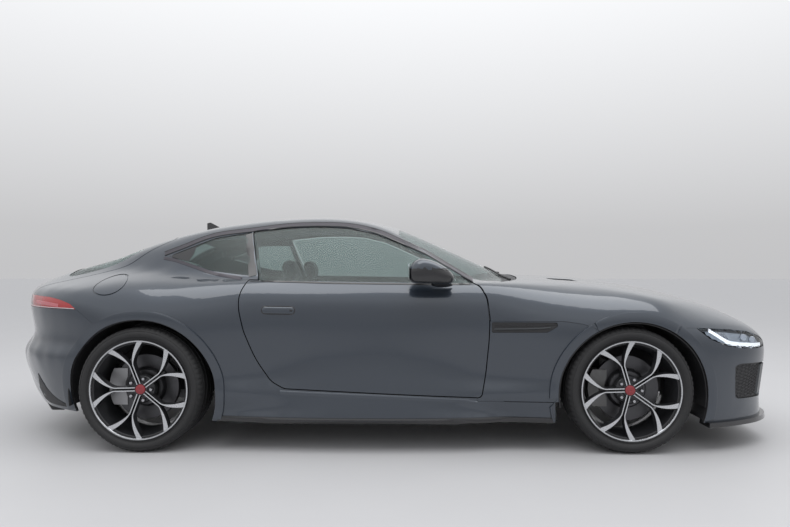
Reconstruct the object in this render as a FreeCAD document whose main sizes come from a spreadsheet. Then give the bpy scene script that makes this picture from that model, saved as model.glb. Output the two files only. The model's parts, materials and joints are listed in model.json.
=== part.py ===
import FreeCAD, Part
import math
import os
import re
from FreeCAD import Placement, Rotation, Vector

# Two-door coupe car. Millimetres. +X forward, +Y left, +Z up.
# The origin is on the ground, midway between the axles.

doc = FreeCAD.newDocument("coupe_car")
sheet = doc.addObject("Spreadsheet::Sheet", "sizes")
nodes = []
cells = {}


# Driving dimensions
def size(name, number):
    """Keep one driving dimension in the sheet and give it back as a number."""
    line = len(cells) + 1
    cells[name] = "B%d" % line
    sheet.set("A%d" % line, name)
    sheet.set("B%d" % line, str(number))
    sheet.setAlias("B%d" % line, name)
    return float(number)


wheelbase = size("wheelbase", 2622)
front_track = size("front_track", 1597)
rear_track = size("rear_track", 1627)
hub_height = size("hub_height", 334)
tyre_radius = size("tyre_radius", 334)
front_tyre_width = size("front_tyre_width", 245)
rear_tyre_width = size("rear_tyre_width", 275)
rim_radius = size("rim_radius", 269)
bead_radius = size("bead_radius", 250)
barrel_wall = size("barrel_wall", 7)
disc_radius = size("disc_radius", 178)
stub_radius = size("stub_radius", 25)
bearing_play = size("bearing_play", 0.3)
seat_gap = size("seat_gap", 0.3)
shut_gap = size("shut_gap", 5.6)
door_depth = size("door_depth", 70)
top_depth = size("top_depth", 30)
flange_depth = size("flange_depth", 14)
skin_edge = size("skin_edge", 18)
glass_inset = size("glass_inset", 4)
glass_thickness = size("glass_thickness", 5)
front_arch_radius = size("front_arch_radius", 401)
rear_arch_radius = size("rear_arch_radius", 409)
front_arch_shift = size("front_arch_shift", 16)
rear_arch_shift = size("rear_arch_shift", -4)
arch_height = size("arch_height", 301)
core_height = size("core_height", -150)

front_axle = wheelbase / 2
rear_axle = -wheelbase / 2


# Smooth profiles and the body's form
def ramp(distance, softness):
    return (distance + math.sqrt(distance * distance + softness * softness)) / 2


def profile(name, softness, points):
    """A soft line through points (place, value), kept in the sheet."""
    soft = size(name + "_softness", softness)
    at = [size("%s_at_%02d" % (name, k), p[0]) for k, p in enumerate(points)]
    value = [size("%s_is_%02d" % (name, k), p[1]) for k, p in enumerate(points)]
    slope = [(value[k + 1] - value[k]) / (at[k + 1] - at[k]) for k in range(len(at) - 1)]
    kinks = [(at[k], slope[k] - slope[k - 1]) for k in range(1, len(slope))]

    def line(place):
        result = value[0] + slope[0] * (place - at[0])
        for kink, change in kinks:
            result += change * ramp(place - kink, soft)
        return result

    return line


def soft_max(first, second, radius):
    """The larger of two, rounded over where they meet."""
    near = max(radius - abs(first - second), 0.0) / radius
    return max(first, second) + near ** 3 * radius / 6


def soft_min(first, second, radius):
    return -soft_max(-first, -second, radius)


half_width = profile("half_width", 90, (
    (-2400, 560), (-2100, 745), (-1900, 868), (-1700, 930), (-1500, 956), (-1311, 966),
    (-1050, 948), (-750, 910), (-400, 888), (0, 882), (450, 888), (850, 914), (1311, 948),
    (1600, 934), (1850, 884), (2050, 806), (2300, 640)))
nose = profile("nose", 60, (
    (-100, 2244), (150, 2243), (400, 2241), (560, 2226), (680, 2182), (780, 2088), (860, 1938),
    (900, 1785)))
tail = profile("tail", 60, (
    (-100, 2170), (150, 2170), (380, 2185), (560, 2170), (700, 2090), (800, 1990), (880, 1862),
    (930, 1700)))
door_side = profile("door_side", 22, (
    (100, 60), (165, 40), (230, 14), (300, 2), (335, 4), (365, 20), (410, 27), (480, 20),
    (600, 3), (700, 0), (790, 6), (860, 22), (910, 46), (940, 80), (960, 140)))
wing_side = profile("wing_side", 28, (
    (100, 30), (165, 16), (300, 8), (480, 4), (600, 0), (680, 2), (740, 16), (790, 44),
    (830, 84), (860, 130), (880, 190)))
haunch_side = profile("haunch_side", 28, (
    (100, 50), (200, 26), (350, 8), (500, 2), (650, 0), (720, 4), (790, 20), (850, 52),
    (895, 95), (925, 150), (940, 220)))
tail_side = profile("tail_side", 14, (
    (100, 150), (200, 100), (250, 85), (380, 36), (440, 12), (505, 2), (550, 34), (590, 48),
    (650, 44), (730, 22), (800, 22), (840, 40), (870, 80), (890, 150)))
nose_side = profile("nose_side", 20, (
    (100, 60), (160, 30), (230, 26), (300, 22), (400, 8), (520, 0), (590, 12), (640, 36),
    (680, 80), (700, 130)))
nose_face = profile("nose_face", 18, (
    (100, 20), (160, 24), (222, 35), (287, 32), (377, 22), (440, 6), (514, 0), (570, 6),
    (620, 18), (660, 44), (700, 100)))
tail_face = profile("tail_face", 14, (
    (100, 210), (190, 160), (245, 104), (373, 39), (437, 12), (505, 0), (525, 6), (552, 44),
    (590, 56), (645, 52), (726, 25), (800, 21), (840, 26), (880, 60), (905, 110)))
centre_line = profile("centre_line", 70, (
    (-2300, 860), (-2180, 893), (-2050, 925), (-1800, 955), (-1500, 965), (-1200, 960),
    (-600, 935), (400, 930), (700, 945), (900, 940), (1100, 934), (1300, 918), (1534, 884),
    (1722, 850), (1848, 818), (1973, 778), (2097, 724), (2180, 672), (2235, 610), (2300, 530)))
crest_line = profile("crest_line", 70, (
    (-2300, 826), (-2180, 876), (-2050, 903), (-1900, 924), (-1700, 936), (-1500, 951),
    (-1200, 945), (-800, 926), (-400, 912), (500, 908), (744, 898), (908, 886), (1181, 868),
    (1398, 848), (1561, 817), (1723, 783), (1880, 747), (2000, 708), (2120, 658), (2300, 560)))
bonnet_hollow = profile("bonnet_hollow", 60, (
    (-2300, 0), (860, 0), (1050, 10), (1600, 9), (2000, 0), (2300, 0)))
crest_place = profile("crest_place", 80, (
    (-2300, 560), (-2100, 700), (-1900, 790), (-1600, 850), (-1311, 860), (-900, 850),
    (-500, 845), (500, 835), (900, 812), (1311, 800), (1600, 775), (1800, 730), (2000, 650),
    (2150, 520), (2300, 350)))
roof_line = profile("roof_line", 60, (
    (-2300, 800), (-2120, 872), (-1955, 948), (-1730, 1068), (-1505, 1150), (-1281, 1214),
    (-1062, 1262), (-759, 1299), (-500, 1313), (-360, 1314), (-222, 1308), (-83, 1290),
    (56, 1256), (200, 1197), (400, 1106), (600, 1013), (800, 918), (900, 865)))
cabin_width = profile("cabin_width", 90, (
    (-2300, 330), (-2000, 440), (-1800, 520), (-1500, 635), (-1190, 728), (-950, 772),
    (-700, 801), (-400, 818), (0, 822), (300, 812), (560, 785), (800, 700), (1000, 600)))
tumblehome = profile("tumblehome", 30, (
    (850, -10), (915, 0), (1000, 48), (1100, 112), (1210, 196), (1300, 290)))
roof_bow = profile("roof_bow", 120, (
    (-1500, -260), (-900, -160), (-400, 0), (0, 180), (300, 420), (900, 480)))
roof_blend = profile("roof_blend", 60, (
    (-1500, 260), (-1250, 200), (-1100, 80), (-900, 50), (500, 50), (900, 50)))
side_stations = (
    (size("tail_side_end", -2200), tail_side), (size("tail_side_start", -1800), tail_side),
    (size("haunch_end", -1500), haunch_side), (size("haunch_start", -1200), haunch_side),
    (size("door_end", -750), door_side), (size("door_start", 600), door_side),
    (size("wing_end", 1150), wing_side), (size("wing_start", 1500), wing_side),
    (size("nose_side_start", 1950), nose_side), (size("nose_side_end", 2200), nose_side))
side_softness = size("side_softness", 60)
hollow_place = size("hollow_place", 340)
hollow_spread = size("hollow_spread", 110)
corner_blend = size("corner_blend", 140)
shoulder_blend = size("shoulder_blend", 90)
rail_blend = size("rail_blend", 110)
roof_crown = size("roof_crown", 100)
crown_span = size("crown_span", 1000)
cabin_front = size("cabin_front", 1100)


def side_inset(x, z):
    """How far the side lies inside the widest line at one height."""
    inset = [station[1](z) for station in side_stations]
    at = [station[0] for station in side_stations]
    slope = [(inset[k + 1] - inset[k]) / (at[k + 1] - at[k]) for k in range(len(at) - 1)]
    result = inset[0] + slope[0] * (x - at[0])
    for k in range(1, len(slope)):
        result += (slope[k] - slope[k - 1]) * ramp(x - at[k], side_softness)
    return result


def tail_end(x, y, z):
    return -x - tail(abs(y)) + tail_face(z)


def lower_form(x, y, z):
    """Negative inside the lower body, about the depth in millimetres."""
    side = abs(y) - half_width(x) + side_inset(x, z)
    front = x - nose(abs(y)) + nose_face(z)
    back = tail_end(x, y, z)
    share = (abs(y) / crest_place(x)) ** 2
    hollow = bonnet_hollow(x) * math.exp(-((abs(y) - hollow_place) / hollow_spread) ** 2)
    top = z - centre_line(x) - (crest_line(x) - centre_line(x)) * share + hollow
    result = soft_max(side, front, corner_blend)
    result = soft_max(result, back, corner_blend)
    return soft_max(result, top, shoulder_blend)


def cabin_form(x, y, z):
    """Negative inside the cabin's upper part."""
    square = (y / crown_span) ** 2
    side = abs(y) - cabin_width(x) + tumblehome(z)
    top = z - roof_line(x + roof_bow(x) * square) + roof_crown * square
    ends = max(x - cabin_front, tail_end(x, y, z))
    return soft_max(soft_max(side, top, rail_blend), ends, corner_blend)


def body_form(x, y, z):
    return soft_min(lower_form(x, y, z), cabin_form(x, y, z), roof_blend(x))


fan_reach = size("fan_reach_degrees", 76)
side_reach = size("side_reach_degrees", 19)
near_reach = size("near_reach", 150)
far_reach = size("far_reach", 1900)
fan_steps = 17
middle_steps = 30
side_steps = 24


def ray_start_and_way(station, tilt):
    """Rays run out of a line below the floor: square to it between the axles, fanned beyond."""
    fan = math.radians(fan_reach)
    if station < fan_steps:
        start, swing = rear_axle, -fan * (1 - station / fan_steps)
    elif station > fan_steps + middle_steps:
        start, swing = front_axle, fan * (station - fan_steps - middle_steps) / fan_steps
    else:
        start, swing = rear_axle + wheelbase * (station - fan_steps) / middle_steps, 0.0
    way = (math.sin(swing) * math.sin(tilt), -math.cos(tilt), math.cos(swing) * math.sin(tilt))
    return start, way


def depth_point(station, tilt, depth, guess):
    """The point on one ray that lies at a depth inside the body's form."""
    start, way = ray_start_and_way(station, tilt)

    def value(reach):
        return body_form(start + reach * way[0], reach * way[1],
                         core_height + reach * way[2]) + depth

    low, high = (near_reach, far_reach) if guess is None else (guess - 4 * depth - 20, guess + 1)
    below, above = value(low), value(high)
    for turn in range(60):
        middle = high - above * (high - low) / (above - below)
        result = value(middle)
        if abs(result) < 0.002:
            break
        if result > 0:
            high, above = middle, result
            below *= 0.5 if turn % 2 else 1
        else:
            low, below = middle, result
            above *= 0.5 if turn % 2 else 1
    return middle, Vector(start + middle * way[0], middle * way[1], core_height + middle * way[2])


def depth_rows(depth, stations, whole):
    """Rows of points at one depth: the right side, and its mirror image for the whole."""
    rows = []
    for station in stations:
        half = []
        for step in range(side_steps + 1):
            if (station, step, depth) not in points:
                tilt = math.radians(side_reach + (90 - side_reach) * step / side_steps)
                guess = points[(station, step, 0)][0] if depth else None
                points[(station, step, depth)] = depth_point(station, tilt, depth, guess)
            half.append(points[(station, step, depth)][1])
        mirrored_half = [Vector(p.x, -p.y, p.z) for p in reversed(half[:-1])]
        rows.append(half + mirrored_half if whole else half)
    return rows


def station_near(x):
    return fan_steps + round(middle_steps * (x - rear_axle) / wheelbase)


points = {}
levels = {}
last_station = 2 * fan_steps + middle_steps

# Stretches of the body, each from one station to another, whole or its right half
right_side = (0, station_near(1000), False)
door_stretch = (station_near(-1000), station_near(760), False)
quarter_stretch = (station_near(-1311) - 3, station_near(-600), False)
haunch_stretch = (0, station_near(-1200), False)
front_side = (station_near(400), last_station, False)
front_end = (station_near(400), last_station, True)
rear_end = (0, station_near(-1100), True)
roof_stretch = (station_near(-1311) - 2, station_near(300), True)
screen_stretch = (station_near(-150), station_near(1000), True)
rear_side = (0, station_near(-800), False)


def level(depth, stretch):
    """The smooth face at one depth of one stretch."""
    if (depth, stretch) not in levels:
        first, last, whole = stretch
        if depth:
            level(0, stretch)
        surface = Part.BSplineSurface()
        surface.interpolate(depth_rows(depth, range(first, last + 1), whole))
        levels[(depth, stretch)] = surface.toShape()
    return levels[(depth, stretch)]


def layer(outer_depth, inner_depth, stretch):
    """The solid between two depths of the body's form, along one stretch."""
    outer, inner = level(outer_depth, stretch), level(inner_depth, stretch)
    rims = [Part.makeRuledSurface(outer.Edges[k], inner.Edges[k]) for k in range(4)]
    shell = Part.makeShell([outer, inner] + rims)
    shell.sewShape()
    solid = Part.makeSolid(shell)
    if solid.Volume < 0:
        solid.reverse()
    return solid


# Outlines and prisms
far = size("prism_reach", 1300)


def rounded_wire(points, place):
    """A closed wire through corners (a, b, radius), each corner an arc."""
    flat = [Vector(a, b, 0) for a, b, _ in points]
    edges = []
    ends = []
    for k, corner in enumerate(flat):
        before, after = flat[k - 1], flat[(k + 1) % len(flat)]
        back, ahead = before - corner, after - corner
        turn = math.pi - back.getAngle(ahead)
        reach = points[k][2] * math.tan(turn / 2)
        reach = min(reach, 0.48 * back.Length, 0.48 * ahead.Length)
        first = corner + back.normalize() * reach
        last = corner + ahead.normalize() * reach
        ends.append((first, corner, last, reach > 0.01 and turn > 0.001))
    for k, (first, corner, last, bends) in enumerate(ends):
        if bends:
            opening = (first - corner).getAngle(last - corner)
            radius = (first - corner).Length / math.tan((math.pi - opening) / 2)
            bisector = ((first - corner) + (last - corner)).normalize()
            centre = corner + bisector * math.hypot(radius, (first - corner).Length)
            middle = centre - bisector * radius
            edges.append(Part.Arc(place(first), place(middle), place(last)).toShape())
        following = ends[(k + 1) % len(ends)]
        start, stop = (last if bends else corner), (following[0] if following[3] else following[1])
        if (stop - start).Length > 0.001:
            edges.append(Part.makeLine(place(start), place(stop)))
    return Part.Wire(edges)


def grown(wire, amount):
    return wire.makeOffset2D(amount) if amount else wire


def side_face(points, grow=0.0, inner=0.0):
    wire = rounded_wire(points, lambda p: Vector(p.x, -inner, p.y))
    return Part.Face(grown(wire, grow))


def side_prism(points, grow=0.0, inner=0.0, outer=None):
    """A prism seen from the side, from one distance right of the middle to another."""
    outer = far if outer is None else outer
    return side_face(points, grow, inner).extrude(Vector(0, inner - outer, 0))


def wide_prism(points, grow=0.0):
    return side_prism(points, grow, -far, far)


def plan_face(points, grow=0.0, low=0.0):
    wire = rounded_wire(points, lambda p: Vector(p.x, p.y, low))
    return Part.Face(grown(wire, grow))


def plan_prism(points, grow=0.0, low=0.0, high=None):
    high = 2 * far if high is None else high
    return plan_face(points, grow, low).extrude(Vector(0, 0, high - low))


def front_prism(points, grow=0.0, back=0.0, front=None):
    front = 2 * far if front is None else front
    wire = rounded_wire(points, lambda p: Vector(back, p.x, p.y))
    return Part.Face(grown(wire, grow)).extrude(Vector(front - back, 0, 0))


def both(points):
    """An outline given for the right half, closed by its mirror image."""
    return list(points) + [(a, -b, r) for a, b, r in reversed(points) if b]


def box(x0, x1, y0, y1, z0, z1):
    return Part.makeBox(x1 - x0, y1 - y0, z1 - z0, Vector(x0, y0, z0))


def rod(start, way, radius, length):
    return Part.makeCylinder(radius, length, start, way)


def mirrored(shape):
    return shape.mirror(Vector(0, 0, 0), Vector(0, 1, 0))


def pair(shape):
    return Part.Compound([shape, mirrored(shape)])


def keep(node, shape):
    """Put a finished shape in the document under its node's name."""
    piece = doc.addObject("Part::Feature", node)
    piece.Label = node
    piece.Shape = shape
    piece.Placement = shape.Placement
    nodes.append(piece)
    return piece


def keep_both(name, shape):
    keep(name + "_right", shape)
    keep(name + "_left", mirrored(shape))


tailgate_front = size("tailgate_front", -1290)
door_outline = (
    (-755, 920, 8), (-788, 840, 200), (-786, 765, 300), (-758, 648, 300), (-695, 487, 500),
    (-613, 375, 120), (-540, 337, 80), (-281, 326, 900), (521, 290, 26), (547, 417, 600),
    (562, 595, 600), (566, 700, 400), (552, 827, 120), (521, 884, 60), (489, 903, 8))
window_outline = (
    (489, 903, 4), (261, 1041, 500), (63, 1133, 500), (-64, 1184, 300), (-219, 1219, 300),
    (-387, 1227, 600), (-580, 1221, 600), (-787, 1199, 10), (-704, 924, 40), (-666, 800, 10), (400, 800, 10))
quarter_outline = (
    (-793, 1196, 8), (-1010, 1165, 300), (-1290, 1052, 14), (-1219, 1036, 60), (-993, 969, 300),
    (-722, 938, 8))
wing_outline = (
    (500, 273, 2), (960, 273, 2), (1100, 400, 2), (1250, 559, 2), (1127, 662, 2),
    (1061, 688, 60), (961, 702, 60), (500, 702, 2))
vent_outline = ((576, 696, 8), (960, 697, 20), (869, 643, 20), (576, 640, 8))
bonnet_outline = (
    (430, 2000, 2), (430, 905, 2), (540, 860, 2), (566, 703, 2), (961, 703, 60), (1061, 689, 60),
    (1127, 663, 2), (1250, 560, 2), (1450, 560, 2), (1540, 640, 2), (1612, 669, 30),
    (1699, 665, 100), (1868, 653, 200), (1992, 638, 100), (2101, 605, 60), (2165, 592, 60),
    (2400, 588, 2), (2400, 2000, 2))
lamp_outline = (
    (1664, 666, 3), (1740, 606, 40), (1847, 566, 60), (1957, 549, 60), (2065, 543, 20),
    (2140, 545, 8), (2162, 570, 8), (2101, 604, 40), (1992, 637, 100), (1868, 652, 200),
    (1699, 664, 60))
tail_lamp_outline = (
    (-1678, 761, 3), (-1718, 790, 30), (-1783, 810, 60), (-1870, 824, 60), (-2007, 830, 60),
    (-2500, 832, 3), (-2500, 764, 3), (-1760, 763, 60))
rear_bumper_outline = (
    (-1450, 560, 2), (-1568, 686, 2), (-1668, 757, 8), (-1678, 761, 3), (-1718, 790, 30),
    (-1783, 810, 60), (-1870, 824, 60), (-2007, 830, 60), (-2500, 832, 2), (-2500, 190, 2),
    (-1560, 190, 2))
front_bumper_outline = (
    (1500, 160, 2), (2500, 160, 2), (2500, 588, 2), (2165, 592, 60), (2101, 605, 60),
    (1992, 638, 100), (1868, 653, 200), (1699, 665, 100), (1612, 669, 30), (1540, 640, 2),
    (1450, 560, 2))
side_outline = (
    (-925, 162, 2), (915, 162, 2), (909, 270, 2), (640, 270, 2), (640, 870, 2), (720, 900, 2),
    (720, 1500, 2), (-2600, 1500, 2), (-2600, 832, 2), (-2007, 830, 60), (-1870, 824, 60),
    (-1783, 810, 60), (-1718, 790, 30), (-1678, 761, 3), (-1668, 757, 8), (-1568, 686, 2),
    (-1450, 560, 2), (-1200, 300, 2))
windscreen_plan = both(((706, 0, 900), (700, -300, 900), (676, -600, 300), (640, -712, 12), (76, -590, 12),
                        (68, 0, 2000)))
roof_plan = both(((66, 0, 2000), (74, -589, 6), (-400, -602, 1500), (-800, -585, 1500),
                  (tailgate_front, -505, 6), (tailgate_front, 0, 2)))
tailgate_plan = both(((tailgate_front, 0, 2), (tailgate_front, -505, 12), (-1700, -600, 900), (-2000, -668, 900),
                      (-2500, -668, 2)))
rear_glass_plan = both(((-1345, 0, 900), (-1350, -455, 40), (-1700, -535, 900), (-1925, -585, 60),
                        (-1945, 0, 1500)))
cowl_front = ((815, 0, 900), (800, -400, 900), (765, -600, 100))
cowl_rear = ((664, -748, 4), (640, -713, 4), (676, -601, 300), (700, -301, 900), (707, 0, 900))
cowl_plan = both(cowl_front + cowl_rear)
bonnet_plan = both(((816, 0, 900), (800, -402, 900), (760, -602, 300), (655, -742, 60),
                    (492, -828, 2), (470, -1200, 2), (2600, -1200, 2)))


def arch_face(axle, shift, radius, inner=0.0):
    edge = Part.makeCircle(radius, Vector(axle + shift, -inner, arch_height), Vector(0, 1, 0))
    return Part.Face(Part.Wire([edge]))


def arch_prism(axle, shift, radius):
    return arch_face(axle, shift, radius).extrude(Vector(0, -far, 0))


front_arch = (front_axle, front_arch_shift, front_arch_radius)
rear_arch = (rear_axle, rear_arch_shift, rear_arch_radius)


def across(points):
    """A front outline given for the right half, closed by its mirror image."""
    return list(points) + [(-a, b, r) for a, b, r in reversed(points) if a]


louvre_plan = ((1000, -300, 12), (1020, -440, 12), (1190, -400, 12), (1165, -285, 12))
grille_outline = across(((-300, 566, 60), (-455, 520, 60), (-470, 430, 60), (-380, 300, 60)))
intake_outline = ((-575, 452, 12), (-835, 468, 20), (-815, 275, 20), (-640, 262, 30))
diffuser_outline = across(((-640, 150, 4), (-560, 318, 20)))
wiper_routes = (
    ((722, -610), (718, -520), (712, -430), (702, -330), (690, -230), (672, -130), (650, -40)),
    ((752, 20), (728, 110), (716, 210), (702, 310), (690, 410), (674, 490), (655, 560)))


# Body panels
glass_edge = size("glass_edge_gap", 0.4)
panel_edge = size("fixed_panel_gap", 0.8)
wing_depth = size("wing_depth", 14)
bumper_depth = size("bumper_depth", 26)
step_in = size("door_step", 9)
seal_reach = size("seal_reach", 24)
flap_depth = size("flap_depth", 5)
bowl_depth = size("bowl_depth", 45)
flap_ledge = size("flap_ledge", 12)
rest_reach = size("rest_reach", 26)
rest_depth = size("rest_depth", 14)
rest_half = size("rest_half", 495)
flap_place = size("flap_place", -1530)
flap_height = size("flap_height", 893)
flap_length = size("flap_length", 170)
flap_rise = size("flap_rise", 104)
tail_lip = size("tail_lip_height", 832)
grille_inset = size("grille_inset", 14)
louvre_depth = size("louvre_depth", 12)
vent_inset = size("vent_inset", 5)
lamp_inset = size("lamp_inset", 1)
lamp_depth = size("lamp_depth", 40)
lamp_middle = size("tail_lamp_middle", 340)
roof_inner = size("roof_inner", 480)
lamp_inner = size("headlamp_inner", 520)
beam_depth = size("beam_depth", 60)
wiper_play = size("wiper_play", 2)
wiper_radius = size("wiper_radius", 6)
splitter_low = size("splitter_low", 134)
splitter_top = size("splitter_top", 160.5)
splitter_reach = size("splitter_reach", 24)
splitter_depth = size("splitter_depth", 90)
liner_wall = size("liner_wall", 5)
liner_drop = size("liner_drop", 60)
liner_lip = size("liner_lip", 12)
well_inner = size("well_inner", 470.3)
well_outer = size("well_outer", 975)
liner_shoulder = size("liner_shoulder", 868)
front_liner_swell = size("front_liner_swell", 12)
swell_shift = size("swell_shift_percent", 80) / 100
liner_reach = size("liner_reach", 140)
front_liner_play = size("front_liner_play", 5)
arm_hole = size("arm_hole", 8)

wall_depth = door_depth + seat_gap
inner_depth = wall_depth + flange_depth
outside = -6.0
glass_back = glass_inset + glass_thickness
half_gap = shut_gap / 2

door_layer = layer(outside, wall_depth, door_stretch)
bonnet_recess = layer(outside, top_depth + shut_gap, front_side)
bonnet_side = wide_prism(bonnet_outline)
bonnet_place = plan_prism(bonnet_plan)


def oval(place, height, length, rise, grow=0.0):
    """An upright oval prism on the right side, longer than tall."""
    edge = Part.Ellipse(Vector(0, 0, 0), length / 2 + grow, rise / 2 + grow).toShape()
    edge.Placement = Placement(Vector(place, 0, height), Rotation(Vector(1, 0, 0), 90))
    return Part.Face(Part.Wire([edge])).extrude(Vector(0, -far, 0))


def largest(shape):
    return max(shape.Solids, key=lambda solid: solid.Volume)


def roof_ledge(grow=0.0):
    """The strip by which the roof reaches in under the tailgate's front edge."""
    half = rest_half + grow
    return box(tailgate_front - rest_reach - grow, tailgate_front + rest_reach, -half, half, 0, 2 * far)


top_openings = plan_face(windscreen_plan, glass_edge).fuse(
    [plan_face(roof_plan, panel_edge), plan_face(cowl_plan, panel_edge)]).extrude(Vector(0, 0, 2 * far)).fuse(
    roof_ledge(panel_edge))
tailgate_recess = layer(outside, top_depth + seat_gap, rear_end).common(
    plan_prism(tailgate_plan, half_gap, tail_lip)).fuse(
    plan_prism(tailgate_plan, -rest_reach, tail_lip + rest_reach))


def make_door():
    skin = layer(0, skin_edge, door_stretch).common(side_prism(door_outline, -half_gap))
    trim = layer(skin_edge, door_depth, door_stretch).common(side_prism(door_outline, -half_gap - step_in))
    return skin.fuse(trim)


def make_door_glass():
    shape = side_prism(window_outline, -half_gap)
    return layer(glass_inset, glass_back, door_stretch).common(shape).cut(side_prism(door_outline, -half_gap))


def make_side():
    """Rear quarter, sill, pillars and roof rail on the right, with the door's flange."""
    face = side_face(side_outline)
    for opening in (side_face(door_outline, -seal_reach), side_face(window_outline, half_gap),
                    side_face(quarter_outline), arch_face(*front_arch), arch_face(*rear_arch)):
        face = face.cut(opening)
    shape = largest(layer(0, inner_depth, right_side).common(face.extrude(Vector(0, -far, 0))))
    shape = largest(shape.cut(top_openings))
    shape = largest(shape.cut(tailgate_recess))
    shape = largest(shape.cut(door_layer.common(side_prism(door_outline, half_gap))))
    wing_recess = layer(outside, wing_depth + seat_gap, front_side)
    shape = largest(shape.cut(wing_recess.common(side_prism(wing_outline, panel_edge))))
    return largest(shape.cut(bonnet_recess.common(bonnet_side).common(bonnet_place)))


def open_for_flap(side):
    """Cut the recess of the fuel flap and the bowl behind it into the right side."""
    flap_recess = oval(flap_place, flap_height, flap_length, flap_rise, shut_gap)
    shape = side.cut(layer(outside, flap_depth + seat_gap, haunch_stretch).common(flap_recess))
    bowl = oval(flap_place, flap_height, flap_length, flap_rise, -flap_ledge)
    return largest(shape.cut(layer(outside, bowl_depth, haunch_stretch).common(bowl)))


def make_bonnet():
    shape = layer(0, top_depth, front_end).common(bonnet_side).common(bonnet_place)
    pocket = layer(outside, louvre_depth, front_side).common(plan_prism(louvre_plan))
    for tool in (side_prism(door_outline, shut_gap), arch_prism(*front_arch), pocket):
        shape = shape.cut(tool).cut(mirrored(tool))
    return largest(shape)


def make_tailgate():
    place = plan_prism(tailgate_plan, -half_gap, tail_lip + shut_gap)
    shape = layer(0, top_depth, rear_end).common(place)
    return largest(shape.cut(plan_prism(rear_glass_plan, glass_edge)))


def make_roof():
    """The roof skin, with a ledge under the tailgate's front edge."""
    shape = layer(0, top_depth + rest_depth, roof_stretch).common(plan_prism(roof_plan).fuse(roof_ledge()))
    window = side_prism(window_outline, half_gap, roof_inner)
    return largest(shape.cut(tailgate_recess).cut(window).cut(mirrored(window)))


def make_cowl():
    """The panel at the windscreen's foot, with a ledge under the bonnet's rear edge and two blades."""
    front_edge = [(a + rest_reach, b, r) for a, b, r in cowl_front]
    shape = layer(glass_inset, top_depth + rest_depth, screen_stretch)
    shape = shape.common(plan_prism(both(tuple(front_edge) + cowl_rear)))
    recess = layer(outside, top_depth + seat_gap, front_end)
    shape = largest(shape.cut(recess.common(plan_prism(bonnet_plan, shut_gap))))
    return Part.Compound([shape] + make_wipers())


def surface_height(x, y, depth=0.0):
    """Height of the body's form over one place."""
    low, high = 500.0, 1500.0
    while high - low > 0.01:
        middle = (low + high) / 2
        if body_form(x, y, middle) + depth < 0:
            low = middle
        else:
            high = middle
    return low


def make_wipers():
    """Two blades, each in short straight lengths that follow the glass and stand on the cowl."""
    blades = []
    for route in wiper_routes:
        spots = []
        for x, y in route:
            play = wiper_play if spots else seat_gap
            spots.append(Vector(x, y, surface_height(x, y, glass_inset) + wiper_radius + play))
        rods = [rod(a, b - a, wiper_radius, (b - a).Length) for a, b in zip(spots, spots[1:])]
        joints = [Part.makeSphere(wiper_radius, spot) for spot in spots[1:-1]]
        blades.append(rods[0].fuse(rods[1:] + joints))
    return blades


def make_front_bumper():
    shape = layer(0, bumper_depth, front_end).common(wide_prism(front_bumper_outline, -panel_edge))
    for tool in (side_prism(lamp_outline, panel_edge, lamp_inner), arch_prism(*front_arch),
                 front_prism(intake_outline, 0, 1700)):
        shape = shape.cut(tool).cut(mirrored(tool))
    return largest(shape.cut(front_prism(grille_outline, 0, 1700)))


def make_rear_bumper():
    shape = layer(0, bumper_depth, rear_end).common(wide_prism(rear_bumper_outline, -panel_edge))
    for tool in (side_prism(tail_lamp_outline, panel_edge, lamp_middle), arch_prism(*rear_arch)):
        shape = shape.cut(tool).cut(mirrored(tool))
    return largest(shape.cut(front_prism(diffuser_outline, panel_edge, -2600, -1800)))


def make_wing():
    shape = layer(0, wing_depth, front_side).common(side_prism(wing_outline, -panel_edge))
    shape = shape.cut(side_prism(door_outline, half_gap))
    return largest(shape.cut(arch_prism(*front_arch)).cut(side_prism(vent_outline)))


def make_grilles():
    """The grille, the two side intakes and the two wing vents."""
    face = layer(grille_inset, bumper_depth, front_end)
    centre = face.common(front_prism(grille_outline, -glass_edge, 1700))
    intake = layer(grille_inset, bumper_depth, front_side).common(
        front_prism(intake_outline, -glass_edge, 1700))
    vent = layer(vent_inset, wing_depth, front_side).common(side_prism(vent_outline, -glass_edge))
    return Part.Compound([centre, intake, mirrored(intake), vent, mirrored(vent)])


def make_headlamp():
    outline = side_prism(lamp_outline, 0, lamp_inner + panel_edge)
    shape = layer(lamp_inset, lamp_depth, front_side).common(outline)
    return largest(shape.cut(bonnet_recess.common(bonnet_side)))


def make_tail_lamp():
    outline = side_prism(tail_lamp_outline, -glass_edge, lamp_middle)
    return largest(layer(lamp_inset, lamp_depth, haunch_stretch).common(outline))


def make_splitter():
    slab = box(1730, 2500, -far, far, splitter_low, splitter_top)
    return largest(layer(-splitter_reach, splitter_depth, front_end).common(slab))


def make_diffuser():
    shape = layer(glass_inset, beam_depth, rear_end).common(front_prism(diffuser_outline, 0, -2600, -1800))
    for side in (-1, 1):
        start = Vector(-1900, side * pipe_place, pipe_height)
        shape = shape.cut(rod(start, Vector(-1, 0, 0), pipe_radius + seat_gap, 700))
    return largest(shape)


def make_flap():
    return layer(0, flap_depth, haunch_stretch).common(oval(flap_place, flap_height, flap_length, flap_rise))


def slab(inner, outer):
    """Everything between two distances to the right of the middle."""
    return box(-3 * far, 3 * far, -outer, -inner, 0, far)


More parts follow.
